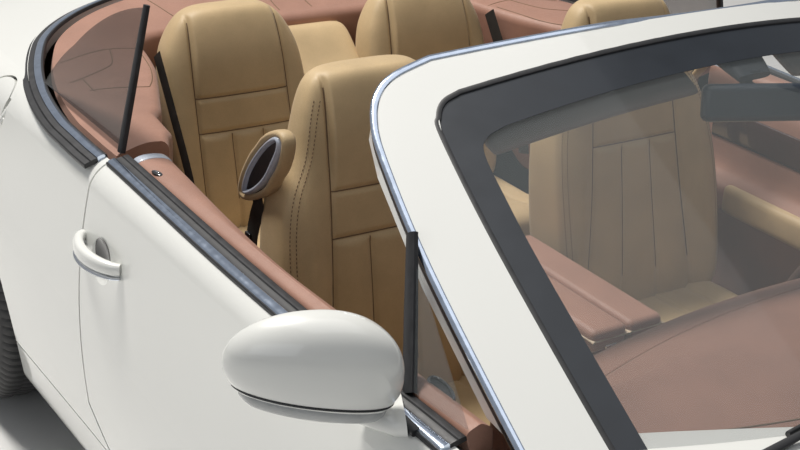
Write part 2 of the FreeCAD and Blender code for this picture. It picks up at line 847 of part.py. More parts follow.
def screenSheet(points, top, bottom):
    # a piece of the curved sheet between two depths under the glass line
    face = Part.Face(polygon([Vector(x, s, -600) for x, s in points]))
    return screenBand(top, bottom).common(face.extrude(Vector(0, 0, 900)))


def screenFittings():
    # two sun visors under the header, and the inner mirror on its foot
    fittings = []
    for sign in (-1, 1):
        points = [(sign * x, s) for x, s in ((126, -136), (520, -118), (524, -62), (140, -52))]
        blade = screenSheet(points, 34, 46)
        stalk = Part.makeCylinder(6, 62, Vector(sign * 460, -72, -92), Vector(0, 0.85, 0.53))
        fittings.append(merged([blade, stalk]))
    foot = screenSheet([(-62, -50), (-46, -132), (46, -132), (62, -50)], size.glass + size.seat_gap, 34)
    glass = Part.makeBox(236, 26, 62, Vector(-118, -186, -140))
    glass = glass.makeFillet(11, glass.Edges)
    stem = rod(Vector(0, -112, -26), Vector(0, -160, -104), 9)
    fittings.append(merged([foot, glass, stem]))
    whole = Part.makeCompound(fittings)
    whole.Placement = screenPlace
    return cutSolids(whole, proudScreen())


def proudScreen():
    band = screenBand(-60, 38 + size.seat_gap).common(screenOutline(frameEdge, 0))
    band = band.cut(screenOutline(glassEdge, -46))
    pane = screenBand(-60, size.glass + size.seat_gap).common(screenOutline(glassEdge, -46))
    whole = band.fuse(pane)
    whole.Placement = screenPlace
    return whole


def cutSolids(compound, tool, within=None):
    solids = [largest(s.cut(tool)) for s in compound.Solids]
    return Part.makeCompound([largest(s.common(within)) if within else s for s in solids])


# Cabin

def dashboard():
    profile = [
        (1530, 915), (1690, 925), (1850, 936), (1950, 922), (2010, 892), (2040, 850), (2035, 760),
        (1990, 660), (1930, 560), (1860, 540), (1700, 560), (1475, 700), (1475, 850),
    ]
    block = sidePrism(profile, -690, 690)
    block = block.cut(both(box(0, 900, 1400, 1480, 0, 1200)))
    return block.common(planPrism(rimWire(12), 200, 960)).common(innerFit)


dashForm = dashboard()


def centreConsole():
    low = tunnelTop + size.seat_gap
    profile = [
        (1900, low), (1880, 560), (1960, 640), (2200, 560), (2390, 580), (2400, 654), (2800, 662),
        (2830, 600), (2830, low),
    ]
    return sidePrism(profile, -95, 95).cut(dashForm)


def seatSolid(middle, front, cushionTop, head, rake, halves):
    # side profile of cushion and back, trimmed by the front outline
    top, topStation = head
    backDepth = 150
    hip = topStation - math.tan(math.radians(rake)) * (top - cushionTop)
    profile = [
        (front, seatBase), (front - 10, cushionTop - 40), (front + 30, cushionTop),
        (hip - 60, cushionTop - 40), (hip + 10, cushionTop + 40), (topStation - 60, top - 110),
        (topStation - 36, top - 24), (topStation, top), (topStation + 46, top - 12),
        (topStation + 74, top - 90), (hip + backDepth, cushionTop), (hip + backDepth - 30, seatBase),
    ]
    wide = halves[0][0]
    body = sidePrism(profile, middle - wide, middle + wide)
    outline = [(-wide, seatBase)] + [(-half, top - drop) for half, drop in halves]
    outline += [(-x, z) for x, z in reversed(outline)]
    face = Part.Face(polygon([at(middle + x, 1000, z) for x, z in outline]))
    return body.common(face.extrude(Vector(0, 3500, 0)))


frontHalves = ((260, 640), (252, 330), (228, 230), (180, 150), (162, 60), (132, 16), (84, 0))
rearHalves = ((200, 500), (196, 240), (184, 100), (148, 40), (104, 10), (60, 0))
seatBase = 150  # below the floor pan, which trims the seats


def seatRoom():
    # inside the body, and free above its top
    return frameOuter.fuse(planPrism(rimWire(40), 700, 1400))



def frontSeat(side):
    # the driver's seat stands higher and further back
    head, front = ((1138, 2790), 2150) if side < 0 else ((1168, 2905), 2230)
    seat = seatSolid(side * size.seat_offset, front, 470, head, 16, frontHalves)
    return seat.common(seatRoom())


def rearSeats():
    # two seats and the pad between their backs
    seats = []
    for sign in (-1, 1):
        seats.append(seatSolid(sign * size.rear_seat_offset, 3130, 520, (1041, 3610), 18, rearHalves))
    half = size.rear_seat_offset - rearHalves[0][0] - 4
    pad = [(3470, 340), (3470, 760), (3530, 806), (3660, 918), (3700, 932), (3740, 918), (3740, 340)]
    seats.append(sidePrism(pad, -half, half))
    room = box(-tunnelHalf - size.seat_gap, tunnelHalf + size.seat_gap, 2000, 4000, 0,
               tunnelTop + size.seat_gap)
    return cutSolids(Part.makeCompound(seats), room, seatRoom())


# inner edge of the padded side trim: x, station
trimEdge = [(735, 2950), (655, 3177), (596, 3325), (512, 3540), (505, haunch + 60)]


def rearTrim():
    # padded deck behind the rear seats and the cheeks beside them
    edge = trimEdge + [(-x, station) for x, station in reversed(trimEdge)]
    room = Part.Face(polygon([at(x, station, 300) for x, station in edge])).extrude(Vector(0, 0, 1000))
    doorSide = box(-1100, 1100, 1000, size.door_back + 12, 0, 1400)
    padRoom = box(-90, 90, haunch, haunch + 84, 300, 1300)
    rim = planPrism(rimWire(20), 860, deckTop)
    cheek = box(540, size.door_inner - 30, size.door_back + 12, haunch - 60, 330, 870)
    well = linerForm(*archRows[1], size.seat_gap)
    whole = merged([rim.cut(doorSide).cut(room).cut(padRoom), both(cheek.common(innerFit).cut(well)).cut(room)])
    return largest(whole.common(innerFit.fuse(rim)))


wheelCentre = at(size.seat_offset, 2128, 800)
columnWay = Vector(0, math.cos(math.radians(size.column_rake)), math.sin(math.radians(size.column_rake)))


def steeringColumn():
    foot = wheelCentre - columnWay * 60
    return rod(foot, foot - columnWay * 170, 34).cut(dashForm)


def steeringWheel():
    ring = Part.makeTorus(size.wheel_rim, size.wheel_grip, wheelCentre, columnWay)
    hub = Part.makeCylinder(62, 46, wheelCentre - columnWay * 40, columnWay)
    stub = Part.makeCylinder(20, 24, wheelCentre - columnWay * (60 - size.seat_gap), columnWay)
    spokes = []
    across = Vector(1, 0, 0)
    upward = columnWay.cross(across)
    for angle in (0, 180, 270):
        way = across * math.cos(math.radians(angle)) + upward * -math.sin(math.radians(angle)) * -1
        spokes.append(rod(wheelCentre - columnWay * 20, wheelCentre + way * size.wheel_rim - columnWay * 4, 11))
    return merged([ring, hub, stub] + spokes)


# Nose and tail fittings

def meshPlate(half, low, high, station, thick, pitch):
    # a plate pierced by a lattice of diamonds
    plate = aperture(half - size.seat_gap, low + size.seat_gap, high - size.seat_gap, 0, 200)
    plate = plate.common(box(-half, half, station, station + thick, low, high))
    holes = []
    web = 5
    rows = int((high - low) / pitch) + 2
    columns = int(2 * half / pitch) + 2
    for row in range(rows):
        for column in range(columns):
            x = -half + (column + 0.5 * (row % 2)) * pitch
            z = low + row * pitch / 2 + pitch / 4
            reach = pitch / 2 - web / 2
            if abs(x) > half - reach - 6 or z - reach < low + 8 or z + reach > high - 8:
                continue
            spots = [(x - reach, z), (x, z - reach), (x + reach, z), (x, z + reach)]
            face = Part.Face(polygon([at(px, station - 5, pz) for px, pz in spots]))
            holes.append(face.extrude(Vector(0, thick + 10, 0)))
    return plate.cut(Part.makeCompound(holes))


def grille():
    upper = meshPlate(grilleHalf, grilleLow, grilleHigh, 14, 9, 34)
    lower = meshPlate(intakeHalf, intakeLow, intakeHigh, 44, 9, 34)
    return Part.makeCompound([upper, lower])


def headlamps():
    lenses = []
    depth = bodyForm(60)
    for x, z, radius in lampRows:
        core = rod(at(x, -50, z), at(x, 620, z), radius)
        lenses.append(largest(outer.common(core).cut(depth)))
    return Part.makeCompound(lenses + [mirrored(s) for s in lenses])


def tailLamps():
    lamp = largest(outer.common(tailCore(0)).cut(bodyForm(40)))
    return Part.makeCompound([lamp, mirrored(lamp)])


def exhaustPipes():
    pipes = []
    for sign in (-1, 1):
        start = at(sign * 520, size.body_length - 420, 262)
        end = at(sign * 520, size.body_length - 12, 262)
        tail = rod(start, end, 54).cut(rod(at(sign * 520, size.body_length - 300, 262), end, 50))
        pipes.append(tail)
    silencer = box(-420, 420, size.body_length - 560, size.body_length - 420, 215, 330)
    links = [box(sign * 520 - 54, sign * 520 + 54, size.body_length - 460, size.body_length - 410, 215, 310)
             for sign in (-1, 1)]
    arms = both(box(400, 500, size.body_length - 500, size.body_length - 440, 225, 300))
    hangers = both(box(300, 340, size.body_length - 520, size.body_length - 460, 320,
                       bootFloor - 14 - size.seat_gap))
    return merged(pipes + [silencer, arms, hangers] + links)


# Running gear

kingpin = 748
pinRadius = 13
uprightHalf = 150
armThick = 12
armHeights = (size.tyre_radius - uprightHalf - size.seat_gap - armThick,
              size.tyre_radius + uprightHalf + size.seat_gap)


def tyre(axle, side):
    radius = size.tyre_radius
    half = size.tyre_width / 2
    bead = size.rim_radius + 2
    profile = [
        (-half + 22, bead), (-half + 6, bead + 26), (-half, bead + 48), (-half + 12, radius - 18),
        (-half + 34, radius - 3), (0, radius), (half - 34, radius - 3), (half - 12, radius - 18),
        (half, bead + 48), (half - 6, bead + 26), (half - 22, bead),
    ]
    centre = at(side * size.track_half, axle, radius)
    wire = polygon([centre + Vector(x, 0, r) for x, r in profile])
    return Part.Face(wire).revolve(centre, Vector(1, 0, 0), 360)


def rim(axle, side):
    # barrel, five pairs of spokes, hub and brake disc; outward is +x before it is placed
    half = size.tyre_width / 2
    edge = size.rim_radius + 1.6
    barrel = [
        (-half + 20, edge), (-half + 20, edge - 14), (-half + 50, edge - 26), (half - 46, edge - 26),
        (half - 30, edge - 12), (half - 20, edge - 12), (half - 20, edge),
    ]
    hub = [(half - 96, 0), (half - 96, 78), (half - 60, 78), (half - 44, 60), (half - 44, 0)]
    disc = [(-14, 0), (-14, 190), (14, 190), (14, 90), (half - 96, 70), (half - 96, 0)]

    def turned(profile):
        wire = polygon([Vector(x, 0, r) for x, r in profile])
        return Part.Face(wire).revolve(Vector(0, 0, 0), Vector(1, 0, 0), 360)

    pieces = [turned(barrel), turned(hub), turned(disc)]
    for index in range(5):
        for lean in (-11, 11):
            spoke = sidelessBar(half, edge, lean)
            spoke.rotate(Vector(0, 0, 0), Vector(1, 0, 0), 72 * index)
            pieces.append(spoke)
    wheel = merged(pieces)
    socket = Part.makeCylinder(22 + size.seat_gap, 60, Vector(-20, 0, 0), Vector(1, 0, 0))
    wheel = wheel.cut(socket)
    wheel = sided(wheel, side)
    wheel.translate(at(side * size.track_half, axle, size.tyre_radius))
    return wheel


def sidelessBar(half, edge, lean):
    start = Vector(half - 70, 0, 50)
    tilt = math.radians(lean)
    end = Vector(half - 42, math.sin(tilt) * (edge - 18), math.cos(tilt) * (edge - 18))
    bar = Part.makeBox(22, 24, (end - start).Length, Vector(-11, -12, 0))
    bar.Placement = Placement(start, Rotation(Vector(0, 0, 1), end - start))
    return bar


def knuckle(side):
    # upright, stub axle and caliper
    x = kingpin
    z = size.tyre_radius
    upright = box(x - 30, x + 20, frontAxle - 45, frontAxle + 45, z - uprightHalf, z + uprightHalf)
    pin = rod(at(x, frontAxle, armHeights[0] + 1), at(x, frontAxle, armHeights[1] + armThick - 1), pinRadius)
    stub = rod(at(x, frontAxle, z), at(size.track_half + 18, frontAxle, z), 22)
    caliper = box(size.track_half - 40, size.track_half + 34, frontAxle + 125, frontAxle + 205, z - 20, z + 100)
    slot = rod(at(size.track_half - 20, frontAxle, z), at(size.track_half + 20, frontAxle, z), 196)
    link = box(x - 30, size.track_half - 34, frontAxle + 30, frontAxle + 200, z - 10, z + 30)
    whole = merged([upright, stub, caliper.cut(slot), link]).cut(slot)
    return sided(merged([whole, stub, pin]), side)


def frontSuspension():
    # an upper and a lower arm a side, each bored for the upright's pin
    wall = size.track_half - size.steered_reach
    arms = []
    for height in armHeights:
        plate = merged([
            box(wall, kingpin, frontAxle - 28, frontAxle + 28, height, height + armThick),
            box(wall, wall + 60, frontAxle - 150, frontAxle + 150, height, height + armThick),
            rod(at(kingpin, frontAxle, height), at(kingpin, frontAxle, height + armThick), 28),
        ])
        bore = rod(at(kingpin, frontAxle, height - 5), at(kingpin, frontAxle, height + armThick + 5),
                   pinRadius + size.seat_gap)
        arms.append(plate.cut(bore))
    return Part.makeCompound([sided(arm, side) for side in (-1, 1) for arm in arms])


def rearSuspension():
    z = size.tyre_radius
    wall = size.track_half - size.rear_reach
    carrier = merged([
        box(wall, kingpin, rearAxle - 60, rearAxle + 60, z - 130, z + 130),
        rod(at(kingpin - 10, rearAxle, z), at(size.track_half + 18, rearAxle, z), 22),
    ])
    return Part.makeCompound([carrier, mirrored(carrier)])


def engineBlock():
    return box(-300, 300, 560, 1400, floorTop + 10, 800)


# Nodes

def place(label, shape):
    piece = doc.addObject("Part::Feature", label)
    piece.Label = label
    piece.Shape = shape
    return piece


nodes = [
    place("front_structure", frontStructure()),
    place("rear_structure", rearStructure()),
    place("front_arch_liners", archLiners(archRows[0], frontHole)),
    place("rear_arch_liners", archLiners(archRows[1], rearHole)),
    place("floor_tub", floorTub()),
    place("front_bumper", frontBumper()),
    place("front_wings", frontWings()),
    place("scuttle", scuttle()),
    place("bonnet", bonnet()),
    place("sills", sills()),
    place("rear_wings", rearWings()),
    place("rear_bumper", rearBumper()),
    place("boot_lid", bootLid()),
    place("fuel_flap", fuelFlap()),
    place("grille", grille()),
    place("headlamps", headlamps()),
    place("tail_lamps", tailLamps()),
    place("exhaust_pipes", exhaustPipes()),
    place("windscreen_frame", windscreenFrame()),
    place("windscreen", windscreen()),
    place("screen_fittings", screenFittings()),
    place("rear_quarter_lights", rearLights()),
    place("dashboard", dashForm),
    place("centre_console", centreConsole()),
    place("rear_seats", rearSeats()),
    place("cockpit_rear_trim", rearTrim()),
    place("steering_column", steeringColumn()),
    place("steering_wheel", steeringWheel()),
    place("engine_block", engineBlock()),
    place("front_suspension", frontSuspension()),
    place("rear_suspension", rearSuspension()),
]
doorPieces = (
    ("door", doorShell()), ("door_trim", doorTrim()), ("door_handle", doorHandle()),
    ("door_mirror", doorMirror()), ("door_light", quarterLight()),
)
for name, side in sides:
    for part, shape in doorPieces:
        nodes.append(place(f"{part}_{name}", sided(shape, side)))
    nodes.append(place(f"front_seat_{name}", frontSeat(side)))
    nodes.append(place(f"knuckle_{name}", knuckle(side)))
    for end, axle in (("front", frontAxle), ("rear", rearAxle)):
        nodes.append(place(f"tyre_{end}_{name}", tyre(axle, side)))
        nodes.append(place(f"rim_{end}_{name}", rim(axle, side)))

doc.recompute()
for piece in doc.Objects:
    if "Invalid" in piece.State or "Error" in piece.State:
        raise RuntimeError(f"{piece.Label} is {piece.State}")
os.makedirs("parts", exist_ok=True)
for piece in nodes:
    if piece.Shape.isNull() or not piece.Shape.isValid():
        raise RuntimeError(f"{piece.Label} has no valid shape")
    piece.Shape.exportStep(f"parts/{piece.Label}.step")
    print(piece.Label, len(piece.Shape.Solids), round(piece.Shape.Volume / 1e6, 2))
print("bonnet axis", [round(v, 2) for v in bonnetAxis], "boot axis", [round(v, 2) for v in bootAxis])
flapPoint, flapWay = flapHingeLine(0)
print("flap axis", flapPoint, -flapWay)
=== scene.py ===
import functools
import math

import bmesh
import bpy
from mathutils import Matrix, Vector
from mathutils.bvhtree import BVHTree


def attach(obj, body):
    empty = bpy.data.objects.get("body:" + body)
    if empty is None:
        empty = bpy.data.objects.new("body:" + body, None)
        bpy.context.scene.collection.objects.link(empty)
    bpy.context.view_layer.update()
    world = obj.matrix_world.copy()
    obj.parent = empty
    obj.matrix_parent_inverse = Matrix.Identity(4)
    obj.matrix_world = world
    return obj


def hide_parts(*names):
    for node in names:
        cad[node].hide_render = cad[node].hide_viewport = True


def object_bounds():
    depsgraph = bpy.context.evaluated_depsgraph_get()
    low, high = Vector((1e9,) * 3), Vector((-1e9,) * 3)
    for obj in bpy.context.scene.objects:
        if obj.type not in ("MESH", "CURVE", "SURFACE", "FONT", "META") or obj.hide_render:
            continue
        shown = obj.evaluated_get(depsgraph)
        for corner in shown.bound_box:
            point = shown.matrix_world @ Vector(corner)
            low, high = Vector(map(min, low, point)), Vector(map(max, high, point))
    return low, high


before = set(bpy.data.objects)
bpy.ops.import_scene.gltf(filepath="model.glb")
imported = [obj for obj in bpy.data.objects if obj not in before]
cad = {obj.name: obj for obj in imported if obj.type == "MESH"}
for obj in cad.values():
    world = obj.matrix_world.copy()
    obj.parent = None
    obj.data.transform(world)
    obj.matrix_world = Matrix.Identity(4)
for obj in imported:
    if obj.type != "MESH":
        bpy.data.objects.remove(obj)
cadLow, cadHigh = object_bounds()
scene = bpy.context.scene
print("frame loaded")


def at(x, station, z):
    # metres; a station is the distance behind the nose
    return Vector((x, cadLow.y + station, z))


def turned(degrees, axis):
    return Matrix.Rotation(math.radians(degrees), 3, axis)


overhead = Vector((0, 0, 1))
rearward = Vector((0, 1, 0))

# Finishes: a socket takes part in arithmetic, and a graph makes the nodes

class Socket:
    def __init__(self, graph, link):
        self.graph = graph
        self.link = link

    def combine(self, operation, first, second):
        return self.graph.node("ShaderNodeMath", {"operation": operation}, {0: first, 1: second})

    def __add__(self, other):
        return self.combine("ADD", self, other)

    def __mul__(self, other):
        return self.combine("MULTIPLY", self, other)

    __radd__ = __add__
    __rmul__ = __mul__

    def highest(self, other):
        return self.combine("MAXIMUM", self, other)


class Graph:
    def __init__(self, tree, shader, constants):
        self.tree = tree
        self.shader = tree.nodes[shader]
        for socket, value in constants.items():
            self.shader.inputs[socket].default_value = value

    def node(self, kind, settings=None, inputs=None, output=0):
        made = self.tree.nodes.new(kind)
        for key, value in (settings or {}).items():
            setattr(made, key, value)
        for key, value in (inputs or {}).items():
            if isinstance(value, Socket):
                self.tree.links.new(value.link, made.inputs[key])
            else:
                made.inputs[key].default_value = value
        return Socket(self, made.outputs[output])

    def feed(self, socket, value):
        self.tree.links.new(value.link, self.shader.inputs[socket])


class Finish(Graph):
    def __init__(self, name, constants):
        self.material = bpy.data.materials.new(name)
        self.material.use_nodes = True
        super().__init__(self.material.node_tree, "Principled BSDF", constants)

    def place(self, scale=(1, 1, 1)):
        spot = self.node("ShaderNodeTexCoord", output="Object")
        return self.node("ShaderNodeMapping", {}, {"Vector": spot, "Scale": scale})

    def noise(self, scale, detail=3.0, stretch=(1, 1, 1), rough=0.5):
        return self.node("ShaderNodeTexNoise", {}, {
            "Vector": self.place(stretch), "Scale": scale, "Detail": detail, "Roughness": rough})

    def blend(self, factor, first, second):
        return self.node("ShaderNodeMix", {"data_type": "RGBA"}, {0: factor, 6: first, 7: second}, output=2)

    def toned(self, factor, colour, low, high):
        self.feed("Base Color", self.blend(factor, shade(colour, low), shade(colour, high)))

    def fade(self, value, low, high, start=0.0, end=1.0):
        return self.node("ShaderNodeMapRange", {}, {0: value, 1: low, 2: high, 3: start, 4: end})

    def bump(self, height, strength, distance):
        self.feed("Normal", self.node("ShaderNodeBump", {}, {
            "Height": height, "Strength": strength, "Distance": distance}))


def shade(colour, factor):
    return tuple(min(1.0, c * factor) for c in colour[:3]) + (1.0,)


def paintFinish(name, colour):
    finish = Finish(name, {"Roughness": 0.32, "Coat Weight": 1.0, "Coat Roughness": 0.03, "Coat IOR": 1.5})
    drift = finish.noise(1.6, 2.0)
    finish.toned(finish.fade(drift, 0.3, 0.7), colour, 0.975, 1.015)
    finish.bump(finish.noise(420, 2.0), 0.02, 0.0004)
    return finish.material


def metalFinish(name, colour, roughness, grain=90, stretch=(1, 1, 1), relief=0.04):
    finish = Finish(name, {"Metallic": 1.0})
    wear = finish.noise(grain, 4.0, stretch)
    finish.toned(finish.fade(wear, 0.35, 0.7), colour, 0.93, 1.04)
    finish.feed("Roughness", finish.fade(wear, 0.3, 0.75, roughness * 0.75, roughness * 1.3))
    finish.bump(wear, relief, 0.0003)
    return finish.material


def plasticFinish(name, colour, roughness, grain=900, relief=0.25, coat=0.0):
    finish = Finish(name, {"Coat Weight": coat, "Coat Roughness": 0.06})
    pebbles = finish.node("ShaderNodeTexVoronoi", {}, {"Vector": finish.place(), "Scale": grain})
    dust = finish.noise(14, 4.0)
    finish.toned(finish.fade(dust, 0.35, 0.75), colour, 0.9, 1.2)
    finish.feed("Roughness", finish.fade(dust, 0.3, 0.7, roughness * 0.9, roughness * 1.12))
    finish.bump(pebbles, relief, 0.0004)
    return finish.material


def leatherFinish(name, colour, grain=620, roughness=0.46, relief=0.34):
    finish = Finish(name, {"Sheen Weight": 0.12, "Sheen Roughness": 0.5, "IOR": 1.45})
    pores = finish.node("ShaderNodeTexVoronoi", {"feature": "DISTANCE_TO_EDGE"}, {
        "Vector": finish.place(), "Scale": grain})
    hide = finish.noise(9, 5.0, rough=0.6)
    crease = finish.noise(95, 5.0, rough=0.65)
    tone = finish.fade(hide, 0.3, 0.72)
    worn = finish.blend(tone, shade(colour, 0.88), shade(colour, 1.1))
    finish.feed("Base Color", finish.blend(
        finish.fade(pores, 0.0, 0.14, 0.35, 0.0), worn, shade(colour, 0.62)))
    finish.feed("Roughness", finish.fade(crease, 0.3, 0.7, roughness * 0.86, roughness * 1.16))
    finish.bump(finish.fade(pores, 0.0, 0.3) * 0.5 + crease * 0.6 + hide * 0.35, relief, 0.0009)
    return finish.material


def glassFinish(name, colour, alpha, roughness=0.02):
    # a pane seen as a tinted film, so that the cabin behind it stays sharp
    finish = Finish(name, {"Roughness": roughness, "IOR": 1.5, "Base Color": shade(colour, 1),
                           "Coat Weight": 0.6, "Coat Roughness": 0.01})
    smear = finish.noise(5, 3.0)
    finish.feed("Alpha", finish.fade(smear, 0.2, 0.8, alpha * 0.94, alpha * 1.06))
    return finish.material


def rubberFinish(name, colour, roughness=0.62):
    finish = Finish(name, {})
    dust = finish.noise(40, 5.0, rough=0.65)
    finish.toned(finish.fade(dust, 0.35, 0.75), colour, 0.8, 1.7)
    finish.feed("Roughness", finish.fade(dust, 0.3, 0.7, roughness * 0.85, roughness * 1.15))
    finish.bump(finish.noise(900, 3.0), 0.2, 0.0003)
    return finish.material


finishes = {
    "paint": paintFinish("paint", (0.80, 0.805, 0.775)),
    "darkMetal": plasticFinish("sealer", (0.022, 0.022, 0.024), 0.55, 300, 0.2),
    "brown": leatherFinish("brown leather", (0.37, 0.195, 0.140)),
    "tan": leatherFinish("tan leather", (0.58, 0.425, 0.235), 560),
    "chrome": metalFinish("chrome", (0.80, 0.82, 0.86), 0.07, 60, relief=0.01),
    # the trim's blue tint is a painted reflection of blue sky on bright metal
    "skyTintedTrim": metalFinish("bright trim", (0.62, 0.70, 0.84), 0.16, 60, relief=0.01),
    "alloy": metalFinish("lacquered alloy", (0.60, 0.61, 0.63), 0.24, 200),
    "cast": metalFinish("cast alloy", (0.30, 0.30, 0.31), 0.5, 260, relief=0.4),
    "steel": metalFinish("brushed steel", (0.42, 0.42, 0.43), 0.3, 120, (1, 0.04, 1), 0.2),
    "black": plasticFinish("satin black", (0.02, 0.02, 0.022), 0.42),
    "gloss": plasticFinish("gloss black", (0.012, 0.012, 0.014), 0.22, 900, 0.02, 1.0),
    "tyre": rubberFinish("tyre rubber", (0.022, 0.022, 0.023)),
    "seal": rubberFinish("rubber seal", (0.018, 0.018, 0.02), 0.5),
    "glass": glassFinish("clear glass", (0.26, 0.29, 0.30), 0.15),
    "tinted": glassFinish("tinted glass", (0.045, 0.042, 0.040), 0.46),
    "frit": plasticFinish("printed glass border", (0.010, 0.014, 0.021), 0.34, 1200, 0.02, 0.12),
    "ribbed": plasticFinish("clear ribbed lens", (0.42, 0.43, 0.43), 0.25, 260, 0.9, 1.0),
    "lens": glassFinish("lamp cover", (0.30, 0.33, 0.36), 0.30),
    "redLens": glassFinish("red lamp cover", (0.34, 0.008, 0.012), 0.86, 0.06),
    "thread": plasticFinish("seam thread", (0.17, 0.108, 0.060), 0.7, 2400, 0.3),
    "piping": leatherFinish("light piping", (0.62, 0.50, 0.36), 900),
    "dusk": leatherFinish("visor cloth", (0.17, 0.125, 0.10), 900),
    "navy": plasticFinish("dark blue housing", (0.010, 0.018, 0.032), 0.34, 1600, 0.008, 0.3),
    "silver": plasticFinish("satin silver", (0.46, 0.50, 0.58), 0.26, 1600, 0.01, 0.6),
    "veneer": plasticFinish("dark veneer", (0.045, 0.018, 0.016), 0.2, 40, 0.03, 1.0),
    "webbing": rubberFinish("belt webbing", (0.020, 0.017, 0.014), 0.8),
    "wood": leatherFinish("wheel leather", (0.075, 0.035, 0.024), 700),
}
print("finishes made")

cadFinishes = {
    "paint": ("front_bumper front_wings scuttle bonnet sills rear_wings rear_bumper boot_lid fuel_flap "
              "windscreen_frame door_right door_left door_mirror_right door_mirror_left "
              "door_handle_right door_handle_left"),
    "darkMetal": "front_structure rear_structure front_arch_liners rear_arch_liners floor_tub",
    "chrome": "grille",
    "lens": "headlamps",
    "redLens": "tail_lamps",
    "steel": "exhaust_pipes",
    "glass": "windscreen door_light_right door_light_left",
    "tinted": "rear_quarter_lights",
    "brown": "screen_fittings dashboard centre_console cockpit_rear_trim door_trim_right door_trim_left",
    "tan": "rear_seats front_seat_right front_seat_left",
    "black": "steering_column",
    "wood": "steering_wheel",
    "cast": "engine_block front_suspension rear_suspension knuckle_right knuckle_left",
    "tyre": "tyre_front_right tyre_front_left tyre_rear_right tyre_rear_left",
    "alloy": "rim_front_right rim_front_left rim_rear_right rim_rear_left",
}
for finish, names in cadFinishes.items():
    for name in names.split():
        cad[name].data.materials.clear()
        cad[name].data.materials.append(finishes[finish])
print("frame dressed")

# Shaping helpers

def makePiece(name, mesh, body, finish, crease=38, replaces=()):
    bmesh.ops.recalc_face_normals(mesh, faces=mesh.faces)
    data = bpy.data.meshes.new(name)
    mesh.to_mesh(data)
    mesh.free()
    data.shade_smooth()
    data.set_sharp_from_angle(angle=math.radians(crease))
    piece = bpy.data.objects.new(name, data)
    scene.collection.objects.link(piece)
    for entry in finish.split():
        data.materials.append(finishes[entry])
    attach(piece, body)
    if replaces:
        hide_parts(*replaces)
    return piece


def smoothPath(points, steps, closed=False):
    # a flowing line through the points
    count = len(points)
    spans = count if closed else count - 1
    line = []
    for index in range(spans):
        if closed:
            a, b, c, d = (points[(index + k) % count] for k in (-1, 0, 1, 2))
        else:
            b, c = points[index], points[index + 1]
            a = points[index - 1] if index else b * 2 - c
            d = points[index + 2] if index + 2 < count else c * 2 - b
        for step in range(steps):
            t = step / steps
            line.append((b * 2 + (c - a) * t + (a * 2 - b * 5 + c * 4 - d) * t ** 2
                         + (b * 3 - a - c * 3 + d) * t ** 3) * 0.5)
    return line if closed else line + [points[-1].copy()]


def ringEdges(ring):
    inside = set(ring)
    return [edge for edge in {e for vert in ring for e in vert.link_edges}
            if edge.verts[0] in inside and edge.verts[1] in inside]


def joinRings(mesh, rings, closed):
    following = rings[1:] + (rings[:1] if closed else [])
    for first, second in zip(rings, following):
        bmesh.ops.bridge_loops(mesh, edges=ringEdges(first) + ringEdges(second))
    if not closed:
        for ring in (rings[0], rings[-1]):
            bmesh.ops.contextual_create(mesh, geom=ringEdges(ring))


def sweep(mesh, path, ups, outline, closed=False, sizes=None):
    # carries an outline of (across, up) points along a path
    rings = []
    count = len(path)
    for index, point in enumerate(path):
        ahead = path[(index + 1) % count] if closed or index < count - 1 else point
        behind = path[index - 1] if closed or index else point
        way = (ahead - behind).normalized()
        up = ups[index] if isinstance(ups, list) else ups
        across = way.cross(up).normalized()
        up = across.cross(way)
        size = sizes[index] if sizes else 1
        ring = bmesh.ops.create_circle(mesh, segments=len(outline), radius=1)["verts"]
        for vert, (side, rise) in zip(ring, outline):
            vert.co = point + (across * side + up * rise) * size
        rings.append(ring)
    joinRings(mesh, rings, closed)


def sweptPiece(name, body, finish, path, ups, outline, crease=38, replaces=(), **shape):
    mesh = bmesh.new()
    sweep(mesh, path, ups, outline, **shape)
    return makePiece(name, mesh, body, finish, crease, replaces)


def hoop(centre, across, up, count):
    # a closed ring of points; across and up are its two half widths
    turns = [math.tau * k / count for k in range(count)]
    return [centre + Vector(across) * math.cos(turn) + Vector(up) * math.sin(turn) for turn in turns]


def roundOutline(wide, tall, count=12, power=2.0):
    outline = []
    for index in range(count):
        angle = math.tau * index / count
        c, s = math.cos(angle), math.sin(angle)
        outline.append((wide * math.copysign(abs(c) ** (2 / power), c),
                        tall * math.copysign(abs(s) ** (2 / power), s)))
    return outline


def surfaceOf(objects):
    # what rays are cast on
    mesh = bmesh.new()
    for entry in objects:
        mesh.from_mesh(entry.data)
    tree = BVHTree.FromBMesh(mesh)
    mesh.free()
    return tree


def cadSurface(names):
    return surfaceOf([cad[name] for name in names.split()])


def dropOn(tree, spot):
    # the highest point of a surface over a spot in plan
    return tree.ray_cast(Vector((spot.x, spot.y, 2.0)), Vector((0, 0, -1)))[0]


sides = (("right", -1), ("left", 1))

# Belt line: a bright strip round the cockpit with a rubber moulding inside it

belt = {
    "doorLine": ((0.8565, 1.815), (0.860, 1.911), (0.8655, 2.058), (0.868, 2.274), (0.870, 2.483),
                 (0.871, 2.724), (0.871, 2.950)),  # x and station of the strip's outer edge
    "stripWide": 0.017, "stripTall": 0.0082, "rubberWide": 0.028, "rearRubberWide": 0.030, "tilt": 0.28,
    "outerLine": ((0.0040, -0.003), (0.0038, 0.0050), (0.0016, 0.0068), (-0.001, 0.006), (-0.001, -0.003)),
    "rimMiddle": 3.12, "rimReach": (0.70, 1.0), "rimLow": 0.85,  # where the rear panel's edge is looked for
}


